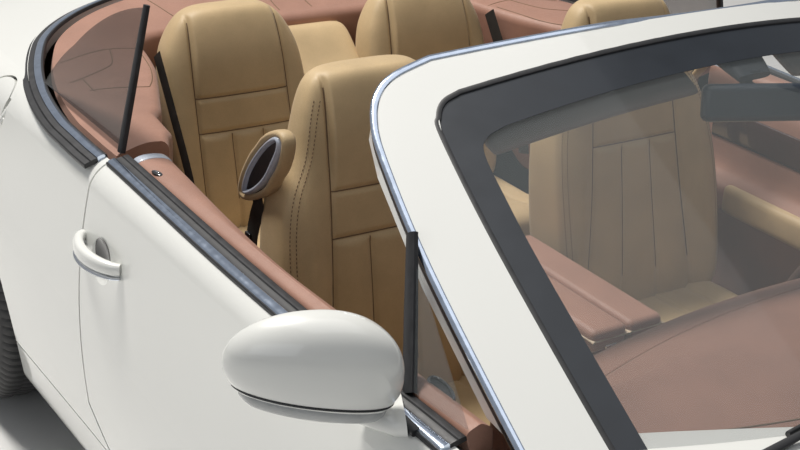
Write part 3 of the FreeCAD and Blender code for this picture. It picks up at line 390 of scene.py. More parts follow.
def rimTrace(start, end, count):
    # the edge of the cockpit in the rear panel, followed round from one side to the other
    tree = cadSurface("rear_wings")
    centre = at(0, belt["rimMiddle"], 0)
    spots = []
    for index in range(count + 1):
        angle = start + (end - start) * index / count
        way = Vector((math.cos(angle), math.sin(angle), 0))
        near, far = belt["rimReach"]
        for _ in range(16):
            middle = (near + far) / 2
            probe = centre + way * middle
            hit = dropOn(tree, probe)
            if hit is not None and hit.z > belt["rimLow"]:
                far = middle
            else:
                near = middle
        probe = centre + way * (far + 0.001)
        hit = dropOn(tree, probe)
        if hit is not None:
            spots.append(hit)
    return spots


def stripOutline(wide, tall):
    return [(0.0, -0.003), (0.0006, tall * 0.45), (-0.0012, tall * 0.86), (-0.0035, tall),
            (-wide + 0.002, tall * 0.98), (-wide, tall * 0.8), (-wide, -0.003)]


def rubberOutline(start, wide, tall):
    return [(-start, -0.004), (-start, tall * 0.75), (-start - 0.002, tall), (-start - wide * 0.45, tall * 0.9),
            (-start - wide * 0.5, tall * 0.55), (-start - wide * 0.58, tall * 0.85),
            (-start - wide + 0.002, tall * 0.6), (-start - wide, tall * 0.2), (-start - wide, -0.006)]


def mirrorOutline(outline, side):
    return outline if side < 0 else [(-x, z) for x, z in outline]


def layTrim(start, end, body, path, ups, rubber, side):
    strip = stripOutline(belt["stripWide"], belt["stripTall"])
    # the strip's blue tint is a painted sky reflection, set in its finish
    for part, finish, outline in (("strip", "skyTintedTrim", strip), ("line", "seal", belt["outerLine"]),
                                  ("moulding", "seal", rubber)):
        sweptPiece(f"{start}_{part}{end}", body, finish, path, ups, mirrorOutline(outline, side))


def beltTrim():
    rubber = rubberOutline(belt["stripWide"], belt["rubberWide"], 0.005)
    for name, side in sides:
        tree = cadSurface(f"door_{name}")
        line = [at(side * x, station, 0) for x, station in belt["doorLine"]]
        path = []
        for spot in smoothPath(line, 6):
            path.append(dropOn(tree, spot) or path[-1])
        up = Vector((side * belt["tilt"], 0, 1)).normalized()
        layTrim("door", f"_{name}", f"door_{name}_leaf", path, up, rubber, -side)
    rim = rimTrace(math.radians(-10.5), math.radians(190.5), 150)
    middle = at(0, belt["rimMiddle"], 0)
    ups = [Vector((spot.x * belt["tilt"], (spot.y - middle.y) * belt["tilt"], 1)).normalized() for spot in rim]
    layTrim("rear", "", "chassis", rim, ups, rubberOutline(belt["stripWide"], belt["rearRubberWide"], 0.006), 1)
    return rim


rimLine = beltTrim()
print("belt line trimmed")

# Windscreen: everything lies on the sheet that the frame and the glass share

screen = {
    "header": (2.256, 1.341), "rake": 25.8, "radius": 2.22,
    "edge": ((0.776, -0.80), (0.767, -0.622), (0.7405, -0.314), (0.7085, -0.104), (0.6875, -0.03),
             (0.6595, 0.014), (0.6215, 0.036), (0.5555, 0.045)),
    "glass": ((0.667, -0.76), (0.667, -0.68), (0.642, -0.339), (0.615, -0.109), (0.600, -0.066),
              (0.578, -0.042), (0.545, -0.034)),
    "frit": ((0.628, -0.76), (0.622, -0.68), (0.5985, -0.38), (0.584, -0.250), (0.571, -0.165),
             (0.552, -0.136), (0.515, -0.126)),
    "archGlass": -0.046, "archFrit": -0.124,
    "strip": ((-0.0012, -0.012), (0.0022, -0.004), (0.0015, 0.0016), (-0.002, 0.0034), (-0.0075, 0.003),
              (-0.0105, 0.0006), (-0.0105, -0.003)),
    "stripClear": 0.0062,  # how far the strip's path stays below the frame's highest point
}
rakeAngle = math.radians(screen["rake"])
screenUp = Vector((0, math.cos(rakeAngle), math.sin(rakeAngle)))
screenOut = Vector((0, -math.sin(rakeAngle), math.cos(rakeAngle)))


def onScreen(x, rise, lift=0.0):
    # x across, rise up the rake from the header, lift off the outer face
    radius = screen["radius"] + lift
    bow = math.sqrt(radius ** 2 - x ** 2) - screen["radius"]
    return at(x, *screen["header"]) + screenUp * rise + screenOut * bow


def screenNormal(x):
    return (Vector((x, 0, 0)) + screenOut * math.sqrt(screen["radius"] ** 2 - x ** 2)).normalized()


def screenLine(rows, arch, lift, steps=6, share=10):
    # up the right pillar, across the header and down the left pillar
    flat = smoothPath([Vector((-x, rise, 0)) for x, rise in rows], steps)
    last = flat[-1]
    across = [Vector((last.x * (1 - k / share), arch + (last.y - arch) * (1 - k / share) ** 2, 0))
              for k in range(1, share + 1)]
    half = flat + across
    whole = half + [Vector((-v.x, v.y, 0)) for v in reversed(half[:-1])]
    return [onScreen(v.x, v.y, lift) for v in whole], [screenNormal(v.x) for v in whole], whole


def screenTrim():
    path, normals, _ = screenLine(screen["edge"], 0.0, 0.004)
    for spot in path:
        spot.z -= max(0.0, spot.z + screen["stripClear"] - cadHigh.z)
    # this strip also carries the painted blue sky reflection of the trim finish
    sweptPiece("screen_strip", "chassis", "skyTintedTrim", path, normals, screen["strip"])
    path, normals, _ = screenLine(screen["edge"], 0.0, -0.012)
    sweptPiece("screen_side_seal", "chassis", "seal", path, normals, roundOutline(0.0045, 0.011, 10, 3))
    path, normals, _ = screenLine(screen["glass"], screen["archGlass"], 0.001)
    sweptPiece("screen_seal", "chassis", "seal", path, normals, roundOutline(0.006, 0.0035, 10, 2.6))


def screenBorder():
    # the dark print between the edge of the glass and the clear field
    _, _, outerFlat = screenLine(screen["glass"], screen["archGlass"], 0)
    _, _, innerFlat = screenLine(screen["frit"], screen["archFrit"], 0)
    mesh = bmesh.new()
    rings = []
    for outerSpot, innerSpot in zip(outerFlat, innerFlat):
        ring = []
        for k in range(7):
            spot = outerSpot.lerp(innerSpot, k / 6)
            ring.append(mesh.verts.new(onScreen(spot.x, spot.y, 0.0004)))
        for a, b in zip(ring, ring[1:]):
            mesh.edges.new((a, b))
        rings.append(ring)
    for first, second in zip(rings, rings[1:]):
        bmesh.ops.bridge_loops(mesh, edges=ringEdges(first) + ringEdges(second))
    bmesh.ops.recalc_face_normals(mesh, faces=mesh.faces)
    bmesh.ops.solidify(mesh, geom=mesh.faces[:], thickness=0.0008)
    makePiece("screen_frit", mesh, "chassis", "frit", 60)


screenTrim()
screenBorder()
print("windscreen trimmed")

# Side glass bars

bars = {
    "rear": ((0.829, 2.984, 0.955), (0.764, 2.994, 1.243)),
    "door": ((0.820, 1.948, 0.948), (0.748, 2.070, 1.134)),
    "rearWide": 0.009, "doorWide": 0.0135, "thick": 0.007, "lean": 0.22,
}


def sideBars():
    for name, side in sides:
        out = Vector((side, 0, bars["lean"])).normalized()
        for which, body in (("rear", "chassis"), ("door", f"door_{name}_leaf")):
            low, high = (at(side * x, station, z) for x, station, z in bars[which])
            along = high - low
            outline = roundOutline(bars[f"{which}Wide"], bars["thick"], 12, 3.4)
            sweptPiece(f"{which}_light_bar_{name}", body, "seal", [low - along * 0.01, low + along * 0.5, high],
                       out, outline, sizes=[1.0, 0.95, 0.8])


sideBars()
print("side glass bars made")

# Door mirrors

mirror = {
    "centre": (0.972, 1.962, 1.020), "reach": (0.112, 0.074, 0.088), "power": 2.3,
    "sweep": 0.34, "droop": 0.006, "rearFlat": 0.42, "tipThin": (0.22, 0.26), "tipShift": (0.014, 0.012),
    "arm": ((0.852, 1.912, 0.936), (0.872, 1.922, 0.934), (0.900, 1.936, 0.944), (0.928, 1.950, 0.966)),
    "plate": ((0.850, 1.868, 0.9365), (0.852, 1.912, 0.9375), (0.853, 1.955, 0.9365)),
    # part, level, finish, outline: the clear repeater and two dark seams along the lower front edge
    "lines": (("repeater", -0.60, "ribbed", roundOutline(0.0045, 0.0095, 10, 2.4)),
              ("seam", -0.44, "seal", roundOutline(0.0022, 0.0022, 8)),
              ("foot_seam", -0.76, "seal", roundOutline(0.0020, 0.0020, 8))),
}


def mirrorPoint(unit, side):
    # a rounded box, flattened towards the rear and drawn out to a slim outer tip
    power = 2 / mirror["power"]
    a, b, c = (math.copysign(abs(v) ** power, v) for v in unit)
    out = (a + 1) / 2
    wide, deep, tall = mirror["reach"]
    thinDeep, thinTall = mirror["tipThin"]
    back, up = mirror["tipShift"]
    b = b * (mirror["rearFlat"] if b > 0 else 1.0) * (1 - thinDeep * out)
    c = c * (1 - thinTall * out ** 2)
    x = a * wide
    y = b * deep + x * mirror["sweep"] + back * out
    z = c * tall - mirror["droop"] * (1 - out) + up * out
    centre = at(side * mirror["centre"][0], mirror["centre"][1], mirror["centre"][2])
    return centre + Vector((side * x, y, z))


def mirrorLine(level, side):
    path = []
    flat = math.sqrt(1 - level ** 2)
    for step in range(33):
        turn = math.radians(-178 + 150 * step / 32)
        path.append(mirrorPoint(Vector((-math.cos(turn) * flat, -abs(math.sin(turn)) * flat, level)), side))
    return path


def doorMirrors():
    taper = [0.35 + 0.65 * min(1.0, 6 * min(k, 32 - k) / 32) for k in range(33)]
    for name, side in sides:
        body = f"door_{name}_leaf"
        mesh = bmesh.new()
        bmesh.ops.create_uvsphere(mesh, u_segments=64, v_segments=40, radius=1)
        bmesh.ops.rotate(mesh, cent=(0, 0, 0), matrix=turned(90, "Y"), verts=mesh.verts)
        for vert in mesh.verts:
            vert.co = mirrorPoint(vert.co.normalized(), side)
        makePiece(f"mirror_shell_{name}", mesh, body, "paint", 60, (f"door_mirror_{name}",))
        for part, level, finish, outline in mirror["lines"]:
            path = mirrorLine(level, side)
            sweptPiece(f"mirror_{part}_{name}", body, finish, path, overhead, outline, sizes=taper)
        glass = bmesh.new()
        bmesh.ops.create_circle(glass, cap_ends=True, segments=48, radius=1)
        for vert in glass.verts:
            spot = mirrorPoint(Vector((vert.co.x * 0.9, 0.42, vert.co.y * 0.9)).normalized(), side)
            vert.co = spot + Vector((0, 0.0015, 0))
        bmesh.ops.recalc_face_normals(glass, faces=glass.faces)
        bmesh.ops.solidify(glass, geom=glass.faces[:], thickness=0.003)
        makePiece(f"mirror_glass_{name}", glass, body, "chrome", 60)
        arm, plate = ([at(side * x, station, z) for x, station, z in mirror[key]] for key in ("arm", "plate"))
        path = smoothPath(arm, 6)
        sweptPiece(f"mirror_arm_{name}", body, "paint", path, rearward,
                   roundOutline(0.017, 0.034, 16, 3), 50,
                   sizes=[1.25 - 0.35 * math.sin(math.pi * k / (len(path) - 1)) for k in range(len(path))])
        sweptPiece(f"mirror_plate_{name}", body, "black", plate, overhead,
                   roundOutline(0.019, 0.006, 14, 3.2), 50)


doorMirrors()
print("mirrors made")

# Door handles

handle = {"station": 2.856, "z": 0.802, "half": 0.090, "thick": 0.012, "tall": 0.0155, "bow": 0.034,
          "rise": 0.006, "stripDrop": 0.012, "bowl": (0.986, 2.856, 0.794), "bowlRadius": 0.0732,
          "bowlReach": (0.075, -0.08)}


def doorHandles():
    for name, side in sides:
        tree = cadSurface(f"door_{name}")
        body = f"door_{name}_leaf"

        def skin(station, z):
            hit = tree.ray_cast(at(side * 1.2, station, z), Vector((-side, 0, 0)))[0]
            return abs(hit.x)

        ends = [skin(handle["station"] + sign * (handle["half"] + 0.004), handle["z"]) for sign in (-1, 1)]
        path, lower = [], []
        for step in range(21):
            share = step / 20
            along = handle["station"] + (share * 2 - 1) * handle["half"]
            base = ends[0] + (ends[1] - ends[0]) * share
            bow = handle["bow"] * math.sin(math.pi * share) ** 0.6
            path.append(at(side * (base + bow + 0.001), along, handle["z"] + handle["rise"]))
            lower.append(at(side * (base + bow + 0.0015), along, handle["z"] - handle["stripDrop"]))
        grow = [0.72 + 0.28 * math.sin(math.pi * k / 20) ** 0.5 for k in range(21)]
        sweptPiece(f"handle_grip_{name}", body, "paint", path, overhead,
                   roundOutline(handle["thick"], handle["tall"], 16, 2.6), 50, (f"door_handle_{name}",),
                   sizes=grow)
        sweptPiece(f"handle_strip_{name}", body, "chrome", lower, overhead,
                   roundOutline(0.0118, 0.0042, 12, 2.6), 50, sizes=grow)
        # painted shadow: a gloss black cap that darkens the hollow behind the grip, where the hollow lies in
        # shade
        middle = at(side * handle["bowl"][0], *handle["bowl"][1:])
        mesh = bmesh.new()
        bmesh.ops.create_uvsphere(mesh, u_segments=64, v_segments=32, radius=handle["bowlRadius"])
        bmesh.ops.rotate(mesh, cent=(0, 0, 0), matrix=turned(90, "Y"), verts=mesh.verts)
        bmesh.ops.translate(mesh, vec=middle, verts=mesh.verts)
        line = side * sum(skin(handle["station"], handle["z"] + lift) for lift in handle["bowlReach"]) / 2
        bmesh.ops.bisect_plane(mesh, geom=mesh.verts[:] + mesh.edges[:] + mesh.faces[:],
                               plane_co=(line, 0, 0), plane_no=(side, 0, 0), clear_outer=True)
        makePiece(f"handle_bowl_shadow_{name}", mesh, body, "gloss", 50)


doorHandles()
print("handles made")

# Seats: padded forms

@functools.cache
def slopesOf(table):
    steps = [(high - low) / (b - a) for (a, low), (b, high) in zip(table, table[1:])]
    inner = [(before + after) / 2 if before * after > 0 else 0.0 for before, after in zip(steps, steps[1:])]
    return [steps[0]] + inner + [steps[-1]]


def follow(table, value):
    # reads a table of (place, size) along a flowing line
    if value <= table[0][0]:
        return table[0][1]
    slopes = slopesOf(table)
    for index, ((a, low), (b, high)) in enumerate(zip(table, table[1:])):
        if value <= b:
            t = (value - a) / (b - a)
            return ((1 + 2 * t) * (1 - t) ** 2 * low + t * t * (3 - 2 * t) * high
                    + t * (1 - t) * (b - a) * ((1 - t) * slopes[index] - t * slopes[index + 1]))
    return table[-1][1]


def closing(value, power):
    # a full section that closes at both ends, from -1 to 1
    return max(0.0, 1 - min(1.0, abs(value)) ** power) ** (1 / power)


def spread(t, share):
    # 0 to 1, with more steps near both ends
    return (0.5 - 0.5 * math.cos(math.pi * t)) * share + t * (1 - share)


def formed(mesh, columns, rows, place):
    # a closed form from a grid: place(u, v) with u round it and v from end to end
    made = bmesh.ops.create_grid(mesh, x_segments=columns, y_segments=rows, size=0.5)["verts"]
    for vert in made:
        vert.co = place(vert.co.x + 0.5, vert.co.y + 0.5)
    bmesh.ops.remove_doubles(mesh, verts=made, dist=0.00002)


def bell(value, width):
    return math.exp(-(value / width) ** 2)


def rise(value, low, high):
    share = min(1.0, max(0.0, (value - low) / (high - low)))
    return share * share * (3 - 2 * share)


padding = {
    "face": 0.72,  # how much of the way round a padded form its face takes
    "sides": 3.4, "cushionSides": 4,  # how square the sides are
    # depth and width of the grooves
    "seam": (0.0060, 0.0050), "band": (0.0055, 0.0055), "flute": (0.0050, 0.0055),
    "swell": 0.004, "head": (0.012, 0.11, 0.10),  # height, drop and reach of the head's padding
}


def roundForm(u):
    # where a point lies across a padded form, from -1 to 1, and whether that is on its face
    face = padding["face"]
    onFace = u <= face
    t = u / face * 2 - 1 if onFace else 1 - (u - face) / (1 - face) * 2
    return 1.5 * t - 0.5 * t ** 3, onFace


class SeatBack:
    # a padded back with its head rest in one: x across, drop down from the top
    def __init__(self, spec):
        self.spec = spec
        self.tall = spec["top"] - spec["base"]

    def column(self, drop):
        # how far the form has closed towards its two ends
        return closing(1 - 2 * drop / self.tall, self.spec["crown"])

    def wide(self, drop):
        return follow(self.spec["halves"], drop) * self.column(drop)

    def lean(self, drop):
        return self.spec["station"] - math.tan(math.radians(self.spec["rake"])) * drop

    def seam(self, drop):
        return follow(self.spec["seam"], drop)

    def relief(self, x, drop):
        # side bolsters, the padded head, seams and flutes; positive is proud
        spec = self.spec
        aside = abs(x) - self.seam(drop)
        bolster = follow(spec["bolster"], drop) * rise(aside, -0.012, 0.07)
        puff = 0.0
        inside = rise(-aside, 0.0, 0.012)
        deep, wide = padding["band"]
        for level in spec["bands"]:
            puff -= deep * bell(drop - level, wide) * inside
        lowest = spec["bands"][-1]
        if drop > lowest:
            fade = rise(drop, lowest, lowest + 0.02)
            deep, wide = padding["flute"]
            for line in (-1, 1):
                puff -= deep * bell(x - line * self.seam(drop) / 3, wide) * inside * fade
            puff += padding["swell"] * inside * fade * abs(math.sin(math.pi * 1.5 * (x / self.seam(drop) + 1)))
        deep, wide = padding["seam"]
        groove = -deep * bell(aside, wide)
        high, middle, reach = padding["head"]
        head = high * bell(drop - middle, reach) * inside
        return bolster + puff + groove + head

    def front(self, x, drop, lift=0.0):
        spec = self.spec
        fullness = self.column(drop)
        deep = closing(x / max(0.0001, self.wide(drop)), padding["sides"])
        half = follow(spec["thick"], drop) / 2
        show = rise(deep, 0.0, 0.5) * rise(fullness, 0.3, 0.8)
        station = self.lean(drop) + half * (1 - fullness * deep) - self.relief(x, drop) * show - lift
        return at(spec["middle"] + x, station, spec["top"] - drop)

    def place(self, u, v):
        spec = self.spec
        drop = self.tall * spread(v, 0.5)
        across, onFace = roundForm(u)
        if onFace:
            return self.front(across * self.wide(drop), drop)
        deep = closing(across, padding["sides"])
        half = follow(spec["thick"], drop) / 2
        return at(spec["middle"] + across * self.wide(drop),
                  self.lean(drop) + half * (1 + self.column(drop) * deep), spec["top"] - drop)


def stitchRow(mesh, path, away, long, gap, thick):
    # short threads laid along a path
    total = 0.0
    nextAt = gap
    for first, second in zip(path, path[1:]):
        step = (second - first).length
        while nextAt < total + step:
            spot = first.lerp(second, (nextAt - total) / step)
            way = (second - first).normalized()
            turn = Matrix((way, away.cross(way).normalized(), away)).transposed().to_4x4()
            made = bmesh.ops.create_cube(mesh, size=1)["verts"]
            bmesh.ops.scale(mesh, vec=(long, thick, thick), verts=made)
            bmesh.ops.transform(mesh, matrix=Matrix.Translation(spot) @ turn, verts=made)
            nextAt += long + gap
        total += step


frontBack = {
    "base": 0.42, "rake": 13.0, "crown": 6.0,
    "halves": ((0, 0.160), (0.06, 0.163), (0.15, 0.182), (0.23, 0.226), (0.33, 0.250), (0.64, 0.258)),
    "seam": ((0, 0.112), (0.12, 0.118), (0.30, 0.128), (0.45, 0.140), (0.70, 0.170)),
    "bolster": ((0, 0.0), (0.10, 0.004), (0.25, 0.022), (0.42, 0.040), (0.70, 0.050)),
    "thick": ((0, 0.096), (0.10, 0.112), (0.30, 0.128), (0.70, 0.150)),
    "bands": (0.226, 0.320),
}
rearBack = {
    "base": 0.47, "rake": 16.0, "crown": 5.4,
    "halves": ((0, 0.150), (0.05, 0.168), (0.11, 0.186), (0.24, 0.196), (0.5, 0.200)),
    "seam": ((0, 0.118), (0.12, 0.126), (0.30, 0.130), (0.55, 0.132)),
    "bolster": ((0, 0.0), (0.08, 0.004), (0.25, 0.016), (0.55, 0.026)),
    "thick": ((0, 0.100), (0.10, 0.125), (0.30, 0.140), (0.60, 0.150)),
    "bands": (0.205, 0.290),
}
seatPlaces = (
    # name, node, pattern, middle, top, station of the front face at the top
    ("front_right", "front_seat_right", frontBack, -0.383, 1.138, 2.755),
    ("front_left", "front_seat_left", frontBack, 0.383, 1.168, 2.870),
    ("rear_right", "rear_seats", rearBack, -0.290, 1.041, 3.568),
    ("rear_left", "rear_seats", rearBack, 0.290, 1.041, 3.568),
)
cushions = {
    # half width, front, back, top, bottom
    "front_right": (0.258, 2.150, 2.680, 0.488, 0.300),
    "front_left": (0.258, 2.230, 2.790, 0.488, 0.300),
    "rear_right": (0.198, 3.130, 3.520, 0.535, 0.330),
    "rear_left": (0.198, 3.130, 3.520, 0.535, 0.330),
}


def cushionPlace(middle, sizes):
    half, front, back, top, bottom = sizes
    long = (back - front) / 2
    tall = (top - bottom) / 2

    def place(u, v):
        end = spread(v, 0.5) * 2 - 1
        fullness = closing(end, 5)
        across, onFace = roundForm(u)
        deep = closing(across, padding["cushionSides"])
        x = across * half * (0.72 + 0.28 * fullness)
        z = tall * fullness * deep
        if onFace:
            aside = abs(x) - half * 0.60
            z += 0.026 * rise(aside, -0.01, 0.07) * deep * rise(fullness, 0.3, 0.8)
            z -= 0.005 * bell(aside, 0.004) + 0.004 * bell(end + 0.45, 0.012) * rise(-aside, 0, 0.01)
            if end > -0.45:
                for line in (-1, 1):
                    z -= 0.004 * bell(x - line * half * 0.20, 0.004)
            z += 0.018 * rise(-end, 0.2, 0.8)
            return at(middle + x, (front + back) / 2 + end * long, (top + bottom) / 2 - 0.02 + z)
        return at(middle + x, (front + back) / 2 + end * long, (top + bottom) / 2 - 0.02 - z)

    return place


def seats():
    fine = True
    for name, node, pattern, middle, top, station in seatPlaces:
        columns, rows = ((280, 210) if pattern is frontBack else (200, 160)) if fine else (90, 60)
        back = SeatBack(dict(pattern, middle=middle, top=top, station=station))
        mesh = bmesh.new()
        formed(mesh, columns, rows, back.place)
        piece = makePiece(f"seat_back_{name}", mesh, "chassis", "tan", 180, (node,))
        mesh = bmesh.new()
        formed(mesh, columns // 2, rows // 2, cushionPlace(middle, cushions[name]))
        piece = makePiece(f"seat_cushion_{name}", mesh, "chassis", "tan", 180)
        seams = bmesh.new()
        low = back.tall - 0.12
        away = Vector((0, -1, 0.2)).normalized()
        for side in (-1, 1):
            drops = [0.03 + (low - 0.03) * k / 60 for k in range(61)]
            sweep(seams, [back.front(side * back.seam(d), d, 0.0004) for d in drops], away,
                  roundOutline(0.0015, 0.0015, 6))
            band = back.spec["bands"][-1]
            drops = [band + 0.006 + (low - band) * k / 40 for k in range(41)]
            sweep(seams, [back.front(side * back.seam(d) / 3, d, 0.0003) for d in drops], away,
                  roundOutline(0.0013, 0.0013, 6))
        for level in back.spec["bands"]:
            reach = back.seam(level)
            sweep(seams, [back.front(reach * (k / 15 - 1), level, 0.0003) for k in range(31)], away,
                  roundOutline(0.0015, 0.0015, 6))
        makePiece(f"seat_seams_{name}", seams, "chassis", "thread", 80)
        if pattern is frontBack:
            stitches = bmesh.new()
            drops = [0.05 + (low - 0.05) * k / 80 for k in range(81)]
            for side in (-1, 1):
                for inset in (0.006, 0.017):
                    line = [back.front(side * (back.wide(d) * 0.955 - inset), d, 0.0002) for d in drops]
                    stitchRow(stitches, line, Vector((side * 0.5, -1, 0)).normalized(), 0.0042, 0.0042, 0.0017)
            makePiece(f"seat_stitches_{name}", stitches, "chassis", "thread", 30)


seats()
print("seats made")

# Soft cabin trim: sections are loops of points, carried from end to end

def skinned(mesh, rings):
    # a closed form through loops of points; its ends draw together in the middle
    ends = [[sum(ring, Vector()) / len(ring)] * len(ring) for ring in (rings[0], rings[-1])]
    rings = [ends[0]] + rings + [ends[1]]
    columns, rows = len(rings[0]), len(rings) - 1
    made = bmesh.ops.create_grid(mesh, x_segments=columns, y_segments=rows, size=0.5)["verts"]
    for vert in made:
        ring = rings[round((vert.co.y + 0.5) * rows)]
        vert.co = ring[round((vert.co.x + 0.5) * columns) % columns]
    bmesh.ops.remove_doubles(mesh, verts=made, dist=0.00002)


def roundedBox(mesh, middle, sizes, radius, turn=None, segments=4):
    made = bmesh.ops.create_cube(mesh, size=1)["verts"]
    bmesh.ops.scale(mesh, vec=sizes, verts=made)
    edges = list({edge for vert in made for edge in vert.link_edges})
    out = bmesh.ops.bevel(mesh, geom=edges, offset=radius, segments=segments, profile=0.5,
                          affect="EDGES", material=-1)
    verts = list({vert for face in out["faces"] for vert in face.verts} | {v for v in made if v.is_valid})
    if turn:
        bmesh.ops.rotate(mesh, cent=(0, 0, 0), matrix=turn, verts=verts)
    bmesh.ops.translate(mesh, vec=middle, verts=verts)


def endings(count, share, power):
    # places from -1 to 1 along a form, each with how full the form is there
    for step in range(count + 1):
        end = spread(step / count, share) * 2 - 1
        yield end, closing(end, power)


def drawnIn(loop, middle, wide, tall):
    x, z = middle
    return [(x + (spot.x - x) * wide, z + (spot.z - z) * tall) for spot in loop]


def skinnedPiece(name, body, finish, rings, crease=60, replaces=()):
    mesh = bmesh.new()
    skinned(mesh, rings)
    return makePiece(name, mesh, body, finish, crease, replaces)


def boxPiece(name, body, finish, middle, sizes, radius, turn=None, segments=4):
    mesh = bmesh.new()
    roundedBox(mesh, middle, sizes, radius, turn, segments)
    return makePiece(name, mesh, body, finish, 60)


def smoothLoop(points, steps):
    return smoothPath([Vector((x, 0, z)) for x, z in points], steps, True)


doorPad = {
    "inner": ((1.80, 0.764), (1.95, 0.772), (2.21, 0.779), (2.37, 0.784), (2.57, 0.776), (2.877, 0.752),
              (2.945, 0.747)),  # station and inner edge
    "front": 1.815, "back": 2.944, "crown": 0.957, "inset": 0.045, "endWaist": 0.86,
    "bandStations": (2.918, 2.944), "knob": (0.813, 2.847), "vent": (0.777, 1.931), "middle": (0.775, 0.80),
    "veneer": (0.7495, 0.812), "veneerStations": (1.90, 2.1, 2.3, 2.5, 2.7, 2.90),
    "rest": (0.722, 2.47, 0.640), "restSize": (0.046, 0.66, 0.078),
}


def doorSection(station):
    outer = beltAt(station) - doorPad["inset"]
    inner = follow(doorPad["inner"], station)
    top = doorPad["crown"]
    return [
        (outer, top - 0.020), (outer - 0.003, top - 0.008), (outer - 0.016, top - 0.002),
        ((outer + inner) / 2, top), (inner + 0.016, top - 0.003), (inner + 0.004, top - 0.012),
        (inner, top - 0.028), (inner + 0.002, top - 0.052), (0.756, 0.872), (0.748, 0.80), (0.745, 0.715),
        (0.722, 0.682), (0.704, 0.665), (0.701, 0.640), (0.706, 0.606), (0.746, 0.588), (0.752, 0.50),
        (0.756, 0.362), (0.772, 0.352), (0.788, 0.362), (0.789, 0.60), (0.789, 0.885), (outer - 0.01, 0.909),
    ]


beltPlan = tuple((station, x) for x, station in belt["doorLine"])


def beltAt(station):
    return follow(beltPlan, station)


def flatBall(name, body, finish, spot, radius, rows, sizes, degrees):
    # a ball made flat by its sizes; the degrees turn it in plan
    mesh = bmesh.new()
    bmesh.ops.create_uvsphere(mesh, u_segments=28, v_segments=rows, radius=radius)
    bmesh.ops.scale(mesh, vec=sizes, verts=mesh.verts)
    turn = turned(degrees, "Z")
    bmesh.ops.rotate(mesh, cent=(0, 0, 0), matrix=turn, verts=mesh.verts)
    bmesh.ops.translate(mesh, vec=spot, verts=mesh.verts)
    makePiece(name, mesh, body, finish)


def doorPads():
    for name, side in sides:
        body = f"door_{name}_leaf"
        front, back = doorPad["front"], doorPad["back"]
        rings = []
        for step in range(91):
            share = step / 90
            station = front + (back - front) * spread(share, 0.75)
            full = doorPad["endWaist"] + (1 - doorPad["endWaist"]) * closing(share * 2 - 1, 60)
            loop = drawnIn(smoothLoop(doorSection(station), 4), doorPad["middle"], full, full)
            rings.append([at(side * x, station, z) for x, z in loop])
        pad = skinnedPiece(f"door_pad_{name}", body, "brown", rings, 60, (f"door_trim_{name}",))
        tree = surfaceOf([pad])
        start, end = doorPad["bandStations"]
        rings = []
        for k in range(25):
            share = k / 24
            ring = []
            for a, b in roundOutline((end - start) / 2, 0.0022, 16, 3):
                station = (start + end) / 2 + a - 0.012 * share ** 2
                outer = beltAt(station) - doorPad["inset"] - 0.003
                inner = follow(doorPad["inner"], station) + 0.005
                spot = dropOn(tree, at(side * (outer + (inner - outer) * share), min(station, back - 0.004), 0))
                ring.append(spot + Vector((0, 0, b)))
            rings.append(ring)
        skinnedPiece(f"door_band_{name}", body, "silver", rings)
        x, station = doorPad["knob"]
        spot = dropOn(tree, at(side * x, station, 0))
        for part, sizes, lift, finish in (("knob", (0.015, 0.034, 0.006), 0.0005, "gloss"),
                                          ("knob_slot", (0.005, 0.016, 0.004), 0.0022, "chrome")):
            flatBall(f"door_{part}_{name}", body, finish, spot + overhead * lift, 0.5, 16, sizes, side * -8)
        x, station = doorPad["vent"]
        spot = dropOn(tree, at(side * x, station, 0))
        path = hoop(spot + overhead * 0.001, (0.0135, 0, 0), (side * -0.0072, 0.036, 0), 36)
        sweptPiece(f"door_vent_rim_{name}", body, "gloss", path, overhead,
                   roundOutline(0.003, 0.0035, 8), closed=True)
        flatBall(f"door_vent_{name}", body, "seal", spot - Vector((0, 0, 0.0004)), 1, 12,
                 (0.0125, 0.035, 0.0016), side * 11)
        # a veneer band and a padded rest on the inner face
        x, z = doorPad["veneer"]
        path = [at(side * x, station, z) for station in doorPad["veneerStations"]]
        sweptPiece(f"door_veneer_{name}", body, "veneer", path, overhead, roundOutline(0.006, 0.040, 18, 4), 60)
        x, station, z = doorPad["rest"]
        rest = at(side * x, station, z)
        boxPiece(f"door_rest_{name}", body, "tan", rest, doorPad["restSize"], 0.020)


doorPads()
print("door trims made")

rearPad = {
    "edge": ((0.735, 2.962), (0.698, 3.051), (0.655, 3.177), (0.596, 3.325), (0.535, 3.480), (0.508, 3.600),
             (0.496, 3.690), (0.420, 3.722), (0.250, 3.724), (0.0, 3.724)),
    "middle": belt["rimMiddle"], "front": 2.968, "round": 0.026, "rimGap": 0.024,
    "top": 0.956, "low": 0.52, "deckLow": 0.845,
    "otherwise": 0.6, "seamLow": 0.9,
    "seams": (((0.743, 3.564), (0.603, 3.604), (0.477, 3.593)), ((0.603, 3.604), (0.629, 3.522), (0.659, 3.478),
              (0.737, 3.434), (0.770, 3.426)), ((0.737, 3.434), (0.745, 3.340)),
              ((0.537, 3.575), (0.568, 3.438), (0.612, 3.340), (0.640, 3.326), (0.753, 3.350)),
              ((0.043, 3.990), (0.046, 3.900), (0.050, 3.770)),
              ((0.336, 3.760), (0.370, 3.860), (0.395, 3.960))),
}


def edgeAt(angle):
    # the trim's inner edge along a ray in plan
    out, along = abs(math.cos(angle)), math.sin(angle)
    spots = [(x, station - rearPad["middle"]) for x, station in rearPad["edge"]]
    for (x0, y0), (x1, y1) in zip(spots, spots[1:]):
        wide, deep = x1 - x0, y1 - y0
        area = out * deep - along * wide
        if abs(area) < 1e-9:
            continue
        reach = (x0 * deep - y0 * wide) / area
        share = (reach * out - x0) / wide if abs(wide) > abs(deep) else (reach * along - y0) / deep
        if -0.001 <= share <= 1.001 and reach > 0:
            return reach
    return rearPad["otherwise"]


